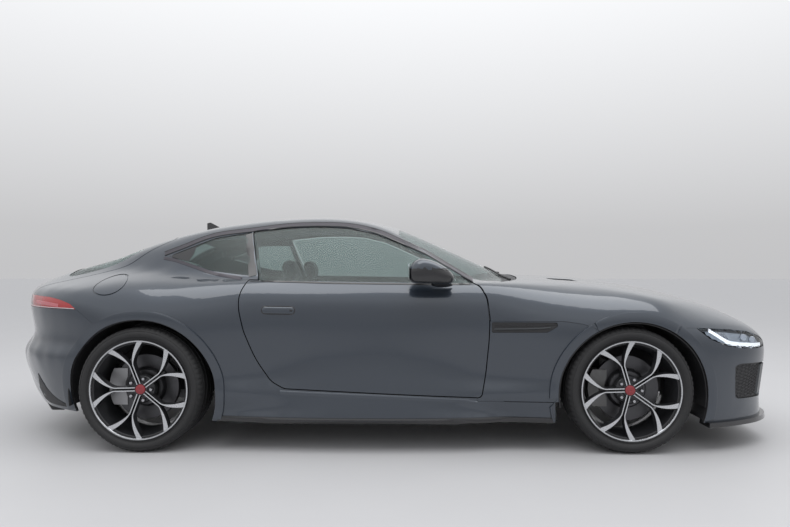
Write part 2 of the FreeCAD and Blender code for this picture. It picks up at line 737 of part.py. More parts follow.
def make_liner(axle, shift, radius, play, swell, stretch):
    """The tub over one wheel: a narrow band near the skin, a room behind it that is wider to the rear, and a wall."""
    outer = radius - play
    inner_edge = arch_prism(axle, shift, outer - liner_wall)
    back = shift - swell_shift * swell
    room_edge = arch_prism(axle, back, outer + swell)
    band = arch_prism(axle, shift, outer).cut(inner_edge).common(slab(liner_shoulder, well_outer))
    room = room_edge.cut(arch_prism(axle, back, outer + swell - liner_wall))
    step = room_edge.cut(inner_edge).common(slab(liner_shoulder - liner_wall, liner_shoulder))
    wall = arch_face(axle, back, outer + swell, well_inner).extrude(Vector(0, -liner_wall, 0))
    shape = wall.fuse([room.common(slab(well_inner, liner_shoulder)), step, band])
    shape = shape.cut(box(-3 * far, 3 * far, -far, far, 0, arch_height - liner_drop))
    hole = box(axle - arm_half - arm_hole, axle + arm_half + arm_hole, -well_inner - 2 * liner_wall, 0,
               0, arm_high + arm_thickness + arm_hole)
    return largest(shape.cut(hole).cut(layer(-liner_reach, liner_lip, stretch)))


# Wheels and what carries them
front_rim_width = size("front_rim_width", 232)
rear_rim_width = size("rear_rim_width", 264)
disc_offset = size("disc_offset", 10)
disc_half = size("disc_half", 14)
disc_play = size("disc_play", 5)
caliper_half = size("caliper_half", 40)
caliper_radius = size("caliper_radius", 206)
caliper_inner = size("caliper_inner", 118)
stub_length = size("stub_length", 70)
knuckle_half = size("knuckle_half", 26)
knuckle_width = size("knuckle_width", 50)
arm_low = size("arm_low", 215)
arm_high = size("arm_high", 445)
arm_thickness = size("arm_thickness", 26)
arm_half = size("arm_half", 20)
arm_overlap = size("arm_overlap", 38)
hub_radius = size("hub_radius", 72)
spoke_depth = size("spoke_depth", 26)
spoke_inset = size("spoke_inset", 4)
spoke_count = size("spoke_count", 5)
spoke_start = size("spoke_start_degrees", 36)
split_radius = size("split_radius", 155)
split_spread = size("split_spread_degrees", 17)
stem_width = size("stem_width", 46)
branch_width = size("branch_width", 18)
branch_end = size("branch_end_width", 30)
rim_lip = size("rim_lip", 9)
bead_rise = size("bead_rise", 2)
bulge_rise = size("bulge_rise", 34)
shoulder_drop = size("shoulder_drop", 22)
shoulder_in = size("shoulder_in", 26)
inner_rail = size("inner_rail", 470)
tower_width = size("tower_width", 40)
tower_top = size("tower_top", 500)

# Cabin, small pieces and structure
floor_low = size("floor_low", 166)
floor_top = size("floor_top", 190)
tunnel_half = size("tunnel_half", 110)
boot_half = size("boot_half", 470)
rail_outer = size("rail_outer", 429.7)
rail_inner = size("rail_inner", 350)
driver_side = size("driver_place", -370)
steering_place = size("steering_place", 105)
steering_height = size("steering_height", 800)
steering_radius = size("steering_radius", 180)
steering_grip = size("steering_grip", 15)
steering_tilt = size("steering_tilt_degrees", 22)
column_start = size("column_start", 26.3)
column_radius = size("column_radius", 32)
dash_half = size("dash_half", 585)
seat_half = size("seat_half", 240)
seat_lean = size("seat_lean_degrees", 20)
mirror_place = size("mirror_place", 248)
mirror_reach = size("mirror_reach", 1021)
mirror_inner = size("mirror_inner", 845)
mirror_height = size("mirror_height", 972)
mirror_length = size("mirror_length", 240)
mirror_rise = size("mirror_rise", 130)
fin_half = size("fin_half", 22)
fin_tip = size("fin_tip_half", 5)
pipe_place = size("pipe_place", 70)
pipe_height = size("pipe_height", 262)
pipe_radius = size("pipe_radius", 48)
pipe_wall = size("pipe_wall", 5)
engine_back = size("engine_back", 810)
engine_front = size("engine_front", 1300)
engine_half = size("engine_half", 260)
engine_top = size("engine_top", 740)


def knuckle_shapes(axle, track):
    """Upright, stub and brake caliper of one right-hand wheel."""
    disc_face = disc_offset - track / 2
    inboard = disc_face + caliper_half
    hub_end = disc_face - disc_half
    axis = Vector(0, -1, 0)
    upright = box(axle - knuckle_half, axle + knuckle_half, disc_face + disc_half + disc_play,
                  disc_face + disc_half + disc_play + knuckle_width, arm_low + seat_gap, arm_high - seat_gap)
    stub = rod(Vector(axle, disc_face + disc_half + disc_play, hub_height), axis, stub_radius, stub_length)
    start = Vector(axle, inboard, hub_height)
    cheeks = rod(start, axis, caliper_radius, 2 * caliper_half).cut(
        rod(start, axis, caliper_inner, 2 * caliper_half))
    slot = rod(Vector(axle, disc_face + disc_half + disc_play, hub_height), axis,
               disc_radius + disc_play, 2 * (disc_half + disc_play))
    sector = box(axle - 230, axle - 105, hub_end - 200, inboard, hub_height - 100, hub_height + 100)
    bridge = box(axle - 140, axle, disc_face + disc_half + disc_play, inboard, hub_height - 20, hub_height + 20)
    return upright.fuse([stub, cheeks.common(sector).cut(slot), bridge])


def spoke_bar(centre, radii, widths, angles):
    """A tapering bar between two radii, bent from one angle to another."""
    ends = [Vector(r * math.cos(a), 0, r * math.sin(a)) for r, a in zip(radii, angles)]
    way = (ends[1] - ends[0]).normalize()
    square = Vector(-way.z, 0, way.x)
    corners = [ends[0] + square * (widths[0] / 2), ends[1] + square * (widths[1] / 2),
               ends[1] - square * (widths[1] / 2), ends[0] - square * (widths[0] / 2)]
    wire = Part.makePolygon([centre + corner for corner in corners + corners[:1]])
    return Part.Face(wire).extrude(Vector(0, spoke_depth, 0))


def wheel_rim(axle, track, rim_width):
    """Barrel, flanges, split spokes, hub and brake disc of one right-hand wheel."""
    centre = -track / 2
    axis = Vector(0, -1, 0)
    inner = Vector(axle, centre + rim_width / 2, hub_height)
    outer = Vector(axle, centre - rim_width / 2 + rim_lip, hub_height)
    front = Vector(axle, centre - rim_width / 2 + spoke_inset, hub_height)
    barrel = rod(inner, axis, bead_radius, rim_width)
    barrel = barrel.fuse([rod(start, axis, rim_radius, rim_lip) for start in (inner, outer)])
    barrel = barrel.cut(rod(inner, axis, bead_radius - barrel_wall, rim_width))
    bars = []
    for k in range(int(spoke_count)):
        angle = math.radians(spoke_start + 360 / spoke_count * k)
        bars.append(spoke_bar(front, (40, split_radius + 10), (stem_width, stem_width * 0.8), (angle, angle)))
        for side in (-1, 1):
            spread = angle + side * math.radians(split_spread)
            bars.append(spoke_bar(front, (split_radius - 5, bead_radius - barrel_wall - 1), (branch_width, branch_end),
                                  (angle + side * 0.05, spread)))
    disc_back = centre + disc_offset + disc_half
    start = Vector(axle, disc_back, hub_height)
    hub = rod(start, axis, hub_radius, disc_back - front.y)
    disc = rod(start, axis, disc_radius, 2 * disc_half)
    bore = rod(start, axis, stub_radius + bearing_play, stub_length)
    return barrel.fuse(bars + [hub, disc]).cut(bore)


def tyre(axle, track, width, rim_width):
    """A tyre's ring, turned about the wheel's axis."""
    bead = rim_width / 2 - rim_lip - seat_gap
    half_section = (
        (bead, bead_radius + seat_gap), (bead, rim_radius + bead_rise), (width / 2, rim_radius + bulge_rise),
        (width / 2 - 8, tyre_radius - shoulder_drop), (width / 2 - shoulder_in, tyre_radius))
    section = list(half_section) + [(-a, r) for a, r in reversed(half_section)]
    centre = Vector(axle, -track / 2, hub_height)
    wire = Part.makePolygon([centre + Vector(0, a, r) for a, r in section + section[:1]])
    return Part.Face(wire).revolve(centre, Vector(0, 1, 0), 360)


def make_mirror():
    """The mirror's head on its arm, which stands on the door's shoulder."""
    rings = []
    for reach, share in ((0, 0.55), (0.17, 0.86), (0.5, 1.0), (0.83, 0.86), (0.98, 0.42)):
        place = mirror_inner + (mirror_reach - mirror_inner) * reach
        edge = Part.Ellipse(Vector(0, 0, 0), mirror_length / 2 * share, mirror_rise / 2 * share).toShape()
        edge.Placement = Placement(Vector(mirror_place, -place, mirror_height), Rotation(Vector(1, 0, 0), 90))
        rings.append(Part.Wire([edge]))
    head = Part.makeLoft(rings, True)
    arm = side_prism(((200, 930, 10), (345, 900, 10), (372, 870, 10), (200, 870, 10)), 0,
                     mirror_inner - 25, mirror_inner + 50)
    return largest(head.fuse(arm).cut(layer(-seat_gap, door_depth, door_stretch)))


def make_fin():
    """A fin on the roof that narrows towards its top and its front."""
    shape = side_prism(((-1262, 1205, 2), (-1268, 1294, 5), (-1244, 1299, 10), (-1165, 1258, 30), (-1120, 1225, 2)), 0,
                       -fin_half, fin_half)
    for taper in (front_prism(((-fin_half, 1190, 1), (fin_half, 1190, 1), (fin_tip, 1302, 1), (-fin_tip, 1302, 1)),
                              0, -1300, -1100),
                  plan_prism(((-1280, -fin_half, 1), (-1280, fin_half, 1), (-1110, fin_tip, 1), (-1110, -fin_tip, 1)),
                             0, 1150, 1320)):
        shape = shape.common(taper)
    return largest(shape.cut(layer(-seat_gap, top_depth, roof_stretch)))


def make_tub():
    """Floor, bulkheads, tunnel and luggage floor."""
    shapes = [box(-900, 915, -far, far, floor_low, floor_top),
              box(640, 655, -700, 700, floor_top, 840),
              box(-560, 640, -tunnel_half, tunnel_half, floor_top, 400),
              box(-720, -700, -690, 690, floor_top, 760),
              box(-2000, -700, -boot_half, boot_half, 560, 580),
              box(-900, -700, -boot_half, boot_half, floor_top, 260)]
    shape = shapes[0].fuse(shapes[1:])
    wall = layer(-far / 3, inner_depth + seat_gap, right_side)
    return largest(shape.cut(wall).cut(mirrored(wall)))


def make_beam(stretch, slab):
    return largest(layer(bumper_depth + seat_gap, bumper_depth + beam_depth, stretch).common(slab))


def make_dashboard():
    """The dashboard and the steering column under it."""
    board = side_prism(((330, 560, 20), (639.7, 560, 4), (639.7, 850, 30), (560, 885, 40), (340, 850, 30),
                        (290, 790, 30)), 0, -dash_half, dash_half)
    tilt = math.radians(steering_tilt)
    way = Vector(math.cos(tilt), 0, -math.sin(tilt))
    start = Vector(steering_place, driver_side, steering_height) + way * column_start
    return board.fuse(rod(start, way, column_radius, 190))


def make_steering_wheel():
    ring = Part.makeTorus(steering_radius - steering_grip, steering_grip)
    hub = Part.makeCylinder(48, 46, Vector(0, 0, -26))
    bars = []
    for angle in (0, 180, 270):
        bar = box(30, steering_radius - steering_grip, -16, 16, -8, 8)
        bar.rotate(Vector(0, 0, 0), Vector(0, 0, 1), angle)
        bars.append(bar)
    shape = ring.fuse([hub] + bars)
    shape.Placement = Placement(Vector(steering_place, driver_side, steering_height),
                                Rotation(Vector(0, 1, 0), steering_tilt - 90))
    return shape


def make_exhaust():
    """Silencer and two tailpipes at the middle of the rear."""
    shapes = [box(-2000, -1750, -420, 420, 210, 330)]
    for place in (-410, 370):
        shapes.append(box(-1900, -1860, place, place + 40, 325, 480 - seat_gap))
    for side in (-1, 1):
        start = Vector(-1995, side * pipe_place, pipe_height)
        way = Vector(-1, 0, 0)
        shapes.append(rod(start, way, pipe_radius, 205).cut(rod(start, way, pipe_radius - pipe_wall, 205)))
    return shapes[0].fuse(shapes[1:])


def make_seat():
    """Cushion, leaning back and head restraint of the right-hand seat."""
    cushion = box(-350, 160, driver_side - seat_half, driver_side + seat_half, floor_top + seat_gap, 420)
    lean = Placement(Vector(-330, 0, 400), Rotation(Vector(0, 1, 0), -seat_lean))
    back = box(-130, 0, driver_side - seat_half, driver_side + seat_half, 0, 560)
    head = box(-110, -20, driver_side - seat_half / 2, driver_side + seat_half / 2, 560, 700)
    back.Placement = lean
    head.Placement = lean
    return cushion.fuse([back, head])


# Plain pieces, bound to the sheet
def linked(text):
    """An expression with each size's name pointed at the sheet."""
    return re.sub(r"[a-z_][a-z_0-9]*", lambda word: "sizes." + word.group(0), text)


def block(x0, x1, y0, y1, z0, z1):
    """A box whose six faces are expressions of the sheet's sizes."""
    piece = doc.addObject("Part::Box", "block")
    for axis, side, low, high in (("x", "Length", x0, x1), ("y", "Width", y0, y1), ("z", "Height", z0, z1)):
        piece.setExpression(side, linked("(%s) - (%s)" % (high, low)))
        piece.setExpression("Placement.Base." + axis, linked(low))
    return piece


def joined(node, pieces):
    """A fusion of several document pieces, kept as a node."""
    piece = doc.addObject("Part::MultiFuse", node)
    piece.Shapes = pieces
    piece.Label = node
    nodes.append(piece)
    return piece


def twin_blocks(x0, x1, inner, outer, z0, z1):
    """A box on the right and its mirror image on the left."""
    return [block(x0, x1, "-(%s)" % outer, "-(%s)" % inner, z0, z1), block(x0, x1, inner, outer, z0, z1)]


def axle_blocks(axle, track):
    """Cross member, towers and fixed arms of one axle."""
    tip = "%s / 2 - disc_offset - disc_half - disc_play - knuckle_width + arm_overlap" % track
    back, front = axle + " - arm_half", axle + " + arm_half"
    pieces = [block(axle + " - 70", axle + " + 70", "-inner_rail", "inner_rail",
                    "arm_low - arm_thickness", "arm_low + 30")]
    pieces += twin_blocks(axle + " - 45", axle + " + 45", "inner_rail - tower_width", "inner_rail",
                          "arm_low", "tower_top")
    pieces += twin_blocks(back, front, "inner_rail - 5", tip, "arm_low - arm_thickness", "arm_low")
    pieces += twin_blocks(back, front, "inner_rail - 5", tip, "arm_high", "arm_high + arm_thickness")
    return pieces


def hidden(shape):
    """A shape that a fusion takes up."""
    piece = doc.addObject("Part::Feature", "source")
    piece.Shape = shape
    piece.Placement = Placement()
    return piece


front_hub = (front_axle, front_track)
rear_hub = (rear_axle, rear_track)
front_beam = make_beam(front_end, box(1900, 2400, -560, 560, 345, 425))
rear_beam = make_beam(rear_end, box(-2400, -1900, -560, 560, 480, 560))

keep_both("door", make_door())
keep_both("door_glass", make_door_glass())
plain_side = make_side()
keep("body_side_right", open_for_flap(plain_side))
keep("body_side_left", mirrored(plain_side))
keep("bonnet", make_bonnet())
keep("tailgate", make_tailgate())
keep("roof_panel", make_roof())
keep("windscreen", layer(glass_inset, glass_back, screen_stretch).common(plan_prism(windscreen_plan)))
keep("rear_glass", layer(glass_inset, glass_back, rear_end).common(plan_prism(rear_glass_plan, 0, tail_lip)))
keep("quarter_glass", pair(layer(glass_inset, glass_back, quarter_stretch).common(
    side_prism(quarter_outline, -glass_edge))))
keep("cowl_panel", make_cowl())
keep("front_bumper", make_front_bumper())
keep("rear_bumper", make_rear_bumper())
keep("lower_wings", pair(make_wing()))
keep("grilles", make_grilles())
keep("headlamps", pair(make_headlamp()))
keep("tail_lamps", pair(make_tail_lamp()))
keep("front_splitter", make_splitter())
keep("rear_diffuser", make_diffuser())
keep("fuel_flap", make_flap())
keep("wheel_liners", Part.Compound([
    pair(make_liner(*front_arch, front_liner_play, front_liner_swell, front_side)),
    pair(make_liner(*rear_arch, seat_gap, 0, rear_side))]))
keep("floor_tub", make_tub())
joined("chassis_rails", [hidden(front_beam), hidden(rear_beam)]
       + twin_blocks("655 + seat_gap", "2060", "rail_inner", "rail_outer", "330", "430")
       + twin_blocks("-2080", "-1000", "rail_inner", "rail_outer", "480", "560 - seat_gap"))
joined("front_subframe", axle_blocks("wheelbase / 2", "front_track"))
rear_upright = knuckle_shapes(*rear_hub)
joined("rear_axle", axle_blocks("-wheelbase / 2", "rear_track")
       + [hidden(rear_upright), hidden(mirrored(rear_upright))])
keep_both("knuckle_front", knuckle_shapes(*front_hub))
keep_both("rim_front", wheel_rim(*front_hub, front_rim_width))
keep_both("rim_rear", wheel_rim(*rear_hub, rear_rim_width))
keep_both("tyre_front", tyre(*front_hub, front_tyre_width, front_rim_width))
keep_both("tyre_rear", tyre(*rear_hub, rear_tyre_width, rear_rim_width))
joined("engine_block", [
    block("engine_back", "engine_front", "-engine_half", "engine_half", "arm_low + 30 + seat_gap", "engine_top"),
    block("engine_back", "engine_back + 300", "-80", "80", "arm_low + 30 + seat_gap", "arm_low + 60")])
keep_both("mirror", make_mirror())
keep("antenna_fin", make_fin())
keep("exhaust", make_exhaust())
keep("steering_wheel", make_steering_wheel())
keep("seats", pair(make_seat()))
keep("dashboard", make_dashboard())

doc.recompute()
for piece in doc.Objects:
    if "Invalid" in piece.State or "Error" in piece.State:
        raise RuntimeError("%s did not recompute" % piece.Label)
for piece in nodes:
    if piece.Shape.isNull() or not piece.Shape.isValid() or not piece.Shape.Solids:
        raise RuntimeError("%s is not a valid solid" % piece.Label)
os.makedirs("parts", exist_ok=True)
for piece in nodes:
    piece.Shape.exportStep("parts/%s.step" % piece.Label)
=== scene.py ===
import json
import math
import random
import bmesh
import bpy
from mathutils import Matrix, Vector
from mathutils.bvhtree import BVHTree


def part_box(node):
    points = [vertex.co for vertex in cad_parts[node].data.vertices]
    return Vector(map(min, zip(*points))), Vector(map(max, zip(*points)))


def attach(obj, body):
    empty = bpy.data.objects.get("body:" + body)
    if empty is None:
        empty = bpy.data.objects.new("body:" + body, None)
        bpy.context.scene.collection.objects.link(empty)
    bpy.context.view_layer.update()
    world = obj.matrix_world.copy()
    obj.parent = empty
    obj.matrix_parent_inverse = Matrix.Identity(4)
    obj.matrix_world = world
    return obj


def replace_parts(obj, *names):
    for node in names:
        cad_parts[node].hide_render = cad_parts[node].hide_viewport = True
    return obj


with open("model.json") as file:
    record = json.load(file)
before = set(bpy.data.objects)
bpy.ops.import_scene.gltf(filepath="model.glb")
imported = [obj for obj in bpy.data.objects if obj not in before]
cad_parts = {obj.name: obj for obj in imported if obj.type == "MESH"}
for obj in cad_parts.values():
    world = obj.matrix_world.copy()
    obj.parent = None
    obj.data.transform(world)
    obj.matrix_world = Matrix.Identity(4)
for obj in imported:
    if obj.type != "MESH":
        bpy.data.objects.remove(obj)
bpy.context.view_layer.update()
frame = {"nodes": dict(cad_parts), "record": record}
nodes = frame["nodes"]
random.seed(7)


# Materials
def material(name, **inputs):
    """A principled material with its constants on the shader's own sockets."""
    made = bpy.data.materials.new(name)
    made.use_nodes = True
    shader = made.node_tree.nodes["Principled BSDF"]
    for label, value in inputs.items():
        socket = shader.inputs[label.replace("_", " ")]
        socket.default_value = (*value, 1.0) if isinstance(value, tuple) else value
    return made


def node(made, kind, **settings):
    piece = made.node_tree.nodes.new(kind)
    for key, value in settings.items():
        if key in piece.inputs:
            piece.inputs[key].default_value = value
        else:
            setattr(piece, key, value)
    return piece


def vary(made, target, low, high, scale=9.0, detail=3.0, kind="ShaderNodeTexNoise"):
    """Let a noise move one input between two values."""
    tree = made.node_tree
    place = node(made, "ShaderNodeTexCoord")
    noise = node(made, kind, Scale=scale)
    if "Detail" in noise.inputs:
        noise.inputs["Detail"].default_value = detail
    tree.links.new(place.outputs["Object"], noise.inputs["Vector"])
    if isinstance(low, tuple):
        mix = node(made, "ShaderNodeMix", data_type="RGBA")
        mix.inputs[6].default_value = (*low, 1.0)
        mix.inputs[7].default_value = (*high, 1.0)
        tree.links.new(noise.outputs[0], mix.inputs[0])
        out = mix.outputs[2]
    else:
        span = node(made, "ShaderNodeMapRange")
        span.inputs["To Min"].default_value = low
        span.inputs["To Max"].default_value = high
        tree.links.new(noise.outputs[0], span.inputs["Value"])
        out = span.outputs[0]
    tree.links.new(out, made.node_tree.nodes["Principled BSDF"].inputs[target])
    return noise


def bump(made, scale, strength, distance=0.001, kind="ShaderNodeTexNoise"):
    """A fine surface grain."""
    tree = made.node_tree
    place = node(made, "ShaderNodeTexCoord")
    noise = node(made, kind, Scale=scale)
    tree.links.new(place.outputs["Object"], noise.inputs["Vector"])
    raised = node(made, "ShaderNodeBump", Strength=strength, Distance=distance)
    tree.links.new(noise.outputs[0], raised.inputs["Height"])
    tree.links.new(raised.outputs[0], made.node_tree.nodes["Principled BSDF"].inputs["Normal"])


paint = material("paint", Metallic=0.5, Roughness=0.30, Coat_Weight=1.0, Coat_Roughness=0.03, Coat_IOR=1.6)
vary(paint, "Base Color", (0.024, 0.033, 0.047), (0.031, 0.042, 0.059), 900.0)
gloss_black = material("gloss_black", Base_Color=(0.012, 0.012, 0.014), Coat_Weight=0.5)
vary(gloss_black, "Roughness", 0.08, 0.16, 30.0)
trim_black = material("trim_black", Base_Color=(0.022, 0.022, 0.024))
vary(trim_black, "Roughness", 0.45, 0.6, 60.0)
bump(trim_black, 900.0, 0.15)
glass = material("glass", Roughness=0.0, Transmission_Weight=0.96, IOR=1.03, Coat_Weight=0.6,
                 Coat_Roughness=0.3)
vary(glass, "Base Color", (0.40, 0.49, 0.48), (0.44, 0.53, 0.52), 2.0)
lamp = material("lamp", Base_Color=(0.85, 0.87, 0.9), Transmission_Weight=0.9, IOR=1.3)
vary(lamp, "Roughness", 0.0, 0.03, 4.0)
red_lamp = material("red_lamp", Base_Color=(0.35, 0.01, 0.012), Coat_Weight=1.0)
vary(red_lamp, "Roughness", 0.12, 0.25, 50.0)
rubber = material("rubber", Base_Color=(0.018, 0.018, 0.019))
vary(rubber, "Roughness", 0.62, 0.8, 70.0)
bump(rubber, 500.0, 0.2)
alloy = material("alloy", Base_Color=(0.42, 0.43, 0.45), Metallic=1.0)
vary(alloy, "Roughness", 0.28, 0.4, 25.0)
steel = material("steel", Base_Color=(0.35, 0.35, 0.36), Metallic=1.0)
vary(steel, "Roughness", 0.35, 0.55, 40.0)
iron = material("iron", Base_Color=(0.18, 0.18, 0.18), Metallic=1.0)
vary(iron, "Roughness", 0.5, 0.7, 40.0)
leather = material("leather", Base_Color=(0.03, 0.03, 0.033))
vary(leather, "Roughness", 0.45, 0.6, 30.0)
bump(leather, 350.0, 0.3, kind="ShaderNodeTexVoronoi")
cabin = material("cabin", Base_Color=(0.03, 0.03, 0.032))
vary(cabin, "Roughness", 0.5, 0.7, 30.0)
bump(cabin, 600.0, 0.2)

machined = material("machined_alloy", Base_Color=(0.60, 0.61, 0.63), Metallic=1.0)
vary(machined, "Roughness", 0.22, 0.34, 160.0)
pocket = material("dark_alloy", Base_Color=(0.03, 0.031, 0.034), Metallic=0.4, Coat_Weight=0.3)
vary(pocket, "Roughness", 0.3, 0.42, 60.0)
cap_red = material("cap_red", Coat_Weight=0.6)
vary(cap_red, "Base Color", (0.20, 0.008, 0.014), (0.27, 0.012, 0.02), 300.0)
nut_chrome = material("nut_chrome", Base_Color=(0.45, 0.45, 0.47), Metallic=1.0)
vary(nut_chrome, "Roughness", 0.15, 0.3, 200.0)
disc_metal = material("disc_metal", Base_Color=(0.09, 0.09, 0.095), Metallic=1.0)
vary(disc_metal, "Roughness", 0.3, 0.55, 90.0)

surround = material("window_surround", Metallic=0.3)
vary(surround, "Base Color", (0.050, 0.046, 0.056), (0.062, 0.058, 0.068), 80.0)
surround.node_tree.nodes["Principled BSDF"].inputs["Roughness"].default_value = 0.35
satin_dark = material("satin_dark", Base_Color=(0.08, 0.085, 0.09), Metallic=0.7)
vary(satin_dark, "Roughness", 0.3, 0.42, 60.0)
lens_clear = material("lens_clear", Base_Color=(0.92, 0.94, 0.96), Transmission_Weight=1.0, IOR=1.2)
vary(lens_clear, "Roughness", 0.0, 0.02, 6.0)
lamp_bowl = material("lamp_bowl", Metallic=0.6)
vary(lamp_bowl, "Base Color", (0.30, 0.34, 0.39), (0.38, 0.42, 0.48), 40.0)
lamp_bowl.node_tree.nodes["Principled BSDF"].inputs["Roughness"].default_value = 0.25
lamp_chrome = material("lamp_chrome", Base_Color=(0.7, 0.72, 0.75), Metallic=1.0)
vary(lamp_chrome, "Roughness", 0.08, 0.16, 40.0)
lamp_glass = material("lamp_glass", Base_Color=(0.55, 0.6, 0.68), Metallic=0.5, Coat_Weight=1.0)
vary(lamp_glass, "Roughness", 0.05, 0.12, 40.0)
light_white = material("light_white", Base_Color=(0.9, 0.93, 0.96), Emission_Color=(0.92, 0.96, 1.0),
                       Emission_Strength=0.55)
vary(light_white, "Roughness", 0.2, 0.3, 120.0)
lamp_dark = material("lamp_dark", Coat_Weight=1.0)
vary(lamp_dark, "Base Color", (0.060, 0.006, 0.010), (0.080, 0.010, 0.014), 90.0)
lamp_pink = material("lamp_pink", Coat_Weight=1.0)
vary(lamp_pink, "Base Color", (0.44, 0.09, 0.11), (0.52, 0.13, 0.15), 200.0)
lamp_bar = material("lamp_bar", Coat_Weight=1.0)
vary(lamp_bar, "Base Color", (0.55, 0.52, 0.54), (0.62, 0.58, 0.6), 120.0)

finishes = {"paint": paint, "gloss_black": gloss_black, "trim_black": trim_black, "glass": glass,
            "lamp": lamp, "red_lamp": red_lamp, "tyre": rubber, "alloy": alloy, "steel": steel,
            "iron": iron, "leather": leather, "cabin": cabin}
for part in frame["record"]["subparts"]:
    shown = nodes[part["node"]]
    shown.data.materials.clear()
    shown.data.materials.append(finishes[part["material_slot"]])



# Mesh helpers
scene_collection = bpy.context.scene.collection
SIDES = {"right": -1, "left": 1}


def mesh_object(name, points, faces, finish, body="root", smooth=True):
    """A new piece from points and faces, riding on one body."""
    mesh = bpy.data.meshes.new(name)
    mesh.from_pydata([tuple(p) for p in points], [], faces)
    for one in finish if isinstance(finish, (list, tuple)) else [finish]:
        mesh.materials.append(one)
    piece = bpy.data.objects.new(name, mesh)
    scene_collection.objects.link(piece)
    if smooth:
        mesh.shade_smooth()
    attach(piece, body)
    return piece


def tidy(piece, outward=True):
    """Weld shared points and turn every face outward."""
    form = bmesh.new()
    form.from_mesh(piece.data)
    bmesh.ops.remove_doubles(form, verts=form.verts, dist=0.00002)
    if outward:
        bmesh.ops.recalc_face_normals(form, faces=form.faces)
    form.to_mesh(piece.data)
    form.free()
    return piece


def sharp(piece, degrees=35):
    """Smooth shading that stops at corners."""
    piece.data.set_sharp_from_angle(angle=math.radians(degrees))
    return piece


def bevel(piece, width, segments=2, degrees=35):
    rounded = piece.modifiers.new("edges", "BEVEL")
    rounded.width, rounded.segments = width, segments
    rounded.limit_method, rounded.angle_limit = "ANGLE", math.radians(degrees)
    return piece


def ring_faces(rows, count, closed_rows=False, closed_count=True):
    """Quads between rows of points, each row with the same count."""
    faces = []
    for i in range(rows if closed_rows else rows - 1):
        for j in range(count if closed_count else count - 1):
            a, b = i * count, ((i + 1) % rows) * count
            faces.append((a + j, a + (j + 1) % count, b + (j + 1) % count, b + j))
    return faces


def revolve(name, section, centre, finish, body, steps=96, groove=None):
    """Turn a closed section (across, radius) about the wheel's cross axis at a centre."""
    points = []
    for i in range(steps):
        turn = 2 * math.pi * i / steps
        for j, (across, radius) in enumerate(section):
            reach = radius - (groove(i, j) if groove else 0)
            points.append((centre[0] + reach * math.cos(turn), centre[1] + across,
                           centre[2] + reach * math.sin(turn)))
    faces = ring_faces(steps, len(section), closed_rows=True)
    return tidy(mesh_object(name, points, faces, finish, body))


def tube(name, path, radius, finish, body="root", sides=8, closed=False):
    """A round bar along a path of points."""
    points = []
    count = len(path)
    for k, spot in enumerate(path):
        before = path[k - 1] if k or closed else spot
        after = path[(k + 1) % count] if k + 1 < count or closed else spot
        way = (Vector(after) - Vector(before)).normalized()
        aside = way.cross(Vector((0, 0, 1)))
        if aside.length < 0.1:
            aside = way.cross(Vector((0, 1, 0)))
        aside.normalize()
        up = aside.cross(way)
        for j in range(sides):
            turn = 2 * math.pi * j / sides
            points.append(Vector(spot) + radius * (math.cos(turn) * aside + math.sin(turn) * up))
    faces = ring_faces(count, sides, closed_rows=closed)
    if not closed:
        faces += [tuple(range(sides)), tuple(range((count - 1) * sides, count * sides))]
    return tidy(mesh_object(name, points, faces, finish, body))


def smooth_path(corners, steps=8):
    """A soft line through a few corners."""
    line = [Vector(c) for c in corners]
    line = [2 * line[0] - line[1]] + line + [2 * line[-1] - line[-2]]
    path = []
    for k in range(1, len(line) - 2):
        p0, p1, p2, p3 = line[k - 1:k + 3]
        for i in range(steps):
            t = i / steps
            path.append(0.5 * (2 * p1 + (p2 - p0) * t + (2 * p0 - 5 * p1 + 4 * p2 - p3) * t ** 2
                               + (3 * p1 - p0 - 3 * p2 + p3) * t ** 3))
    return path + [line[-2]]


# Seats
def solid_of(name, build, finish, body="root"):
    """A welded mesh piece from a bmesh that a function fills."""
    form = bmesh.new()
    build(form)
    mesh = bpy.data.meshes.new(name)
    form.to_mesh(mesh)
    form.free()
    mesh.materials.append(finish)
    piece = bpy.data.objects.new(name, mesh)
    scene_collection.objects.link(piece)
    mesh.shade_smooth()
    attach(piece, body)
    return piece


def frozen(piece):
    """The piece's mesh with its modifiers applied, and the modifiers gone."""
    graph = bpy.context.evaluated_depsgraph_get()
    shape = bpy.data.meshes.new_from_object(piece.evaluated_get(graph))
    piece.modifiers.clear()
    piece.data = shape
    return piece


def swell(piece, most, voxel=0.009):
    """Remesh a pad, blow it up as cloth and hold each point near its start."""
    remesh = piece.modifiers.new("remesh", "REMESH")
    remesh.mode, remesh.voxel_size = "VOXEL", voxel
    frozen(piece)
    before = [v.co.copy() for v in piece.data.vertices]
    cloth = piece.modifiers.new("cloth", "CLOTH")
    cloth.settings.use_pressure = True
    cloth.settings.uniform_pressure_force = 4.0
    cloth.settings.effector_weights.gravity = 0.0
    for step in range(1, 21):
        bpy.context.scene.frame_set(step)
    frozen(piece)
    for vert, start in zip(piece.data.vertices, before):
        move = vert.co - start
        if move.length > most:
            vert.co = start + move.normalized() * most
    bpy.context.scene.frame_set(1)
    piece.data.shade_smooth()
    return piece


def seamed(piece, lines, depth=0.004, width=0.005):
    """Sewn channels: points near a line are pulled in."""
    for vert in piece.data.vertices:
        pull = 0.0
        for line in lines:
            pull = max(pull, math.exp(-(line(vert.co) / width) ** 2))
        vert.co -= vert.normal * depth * pull
    return piece


SEAT_PLACE = 0.370
SEAT_LEAN = math.radians(20)


def twin_of(piece):
    """The same piece on the car's left side."""
    mesh = piece.data.copy()
    for vert in mesh.vertices:
        vert.co.y = -vert.co.y
    mesh.flip_normals()
    twin = bpy.data.objects.new(piece.name.replace("right", "left"), mesh)
    scene_collection.objects.link(twin)
    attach(twin, "root")
    return twin


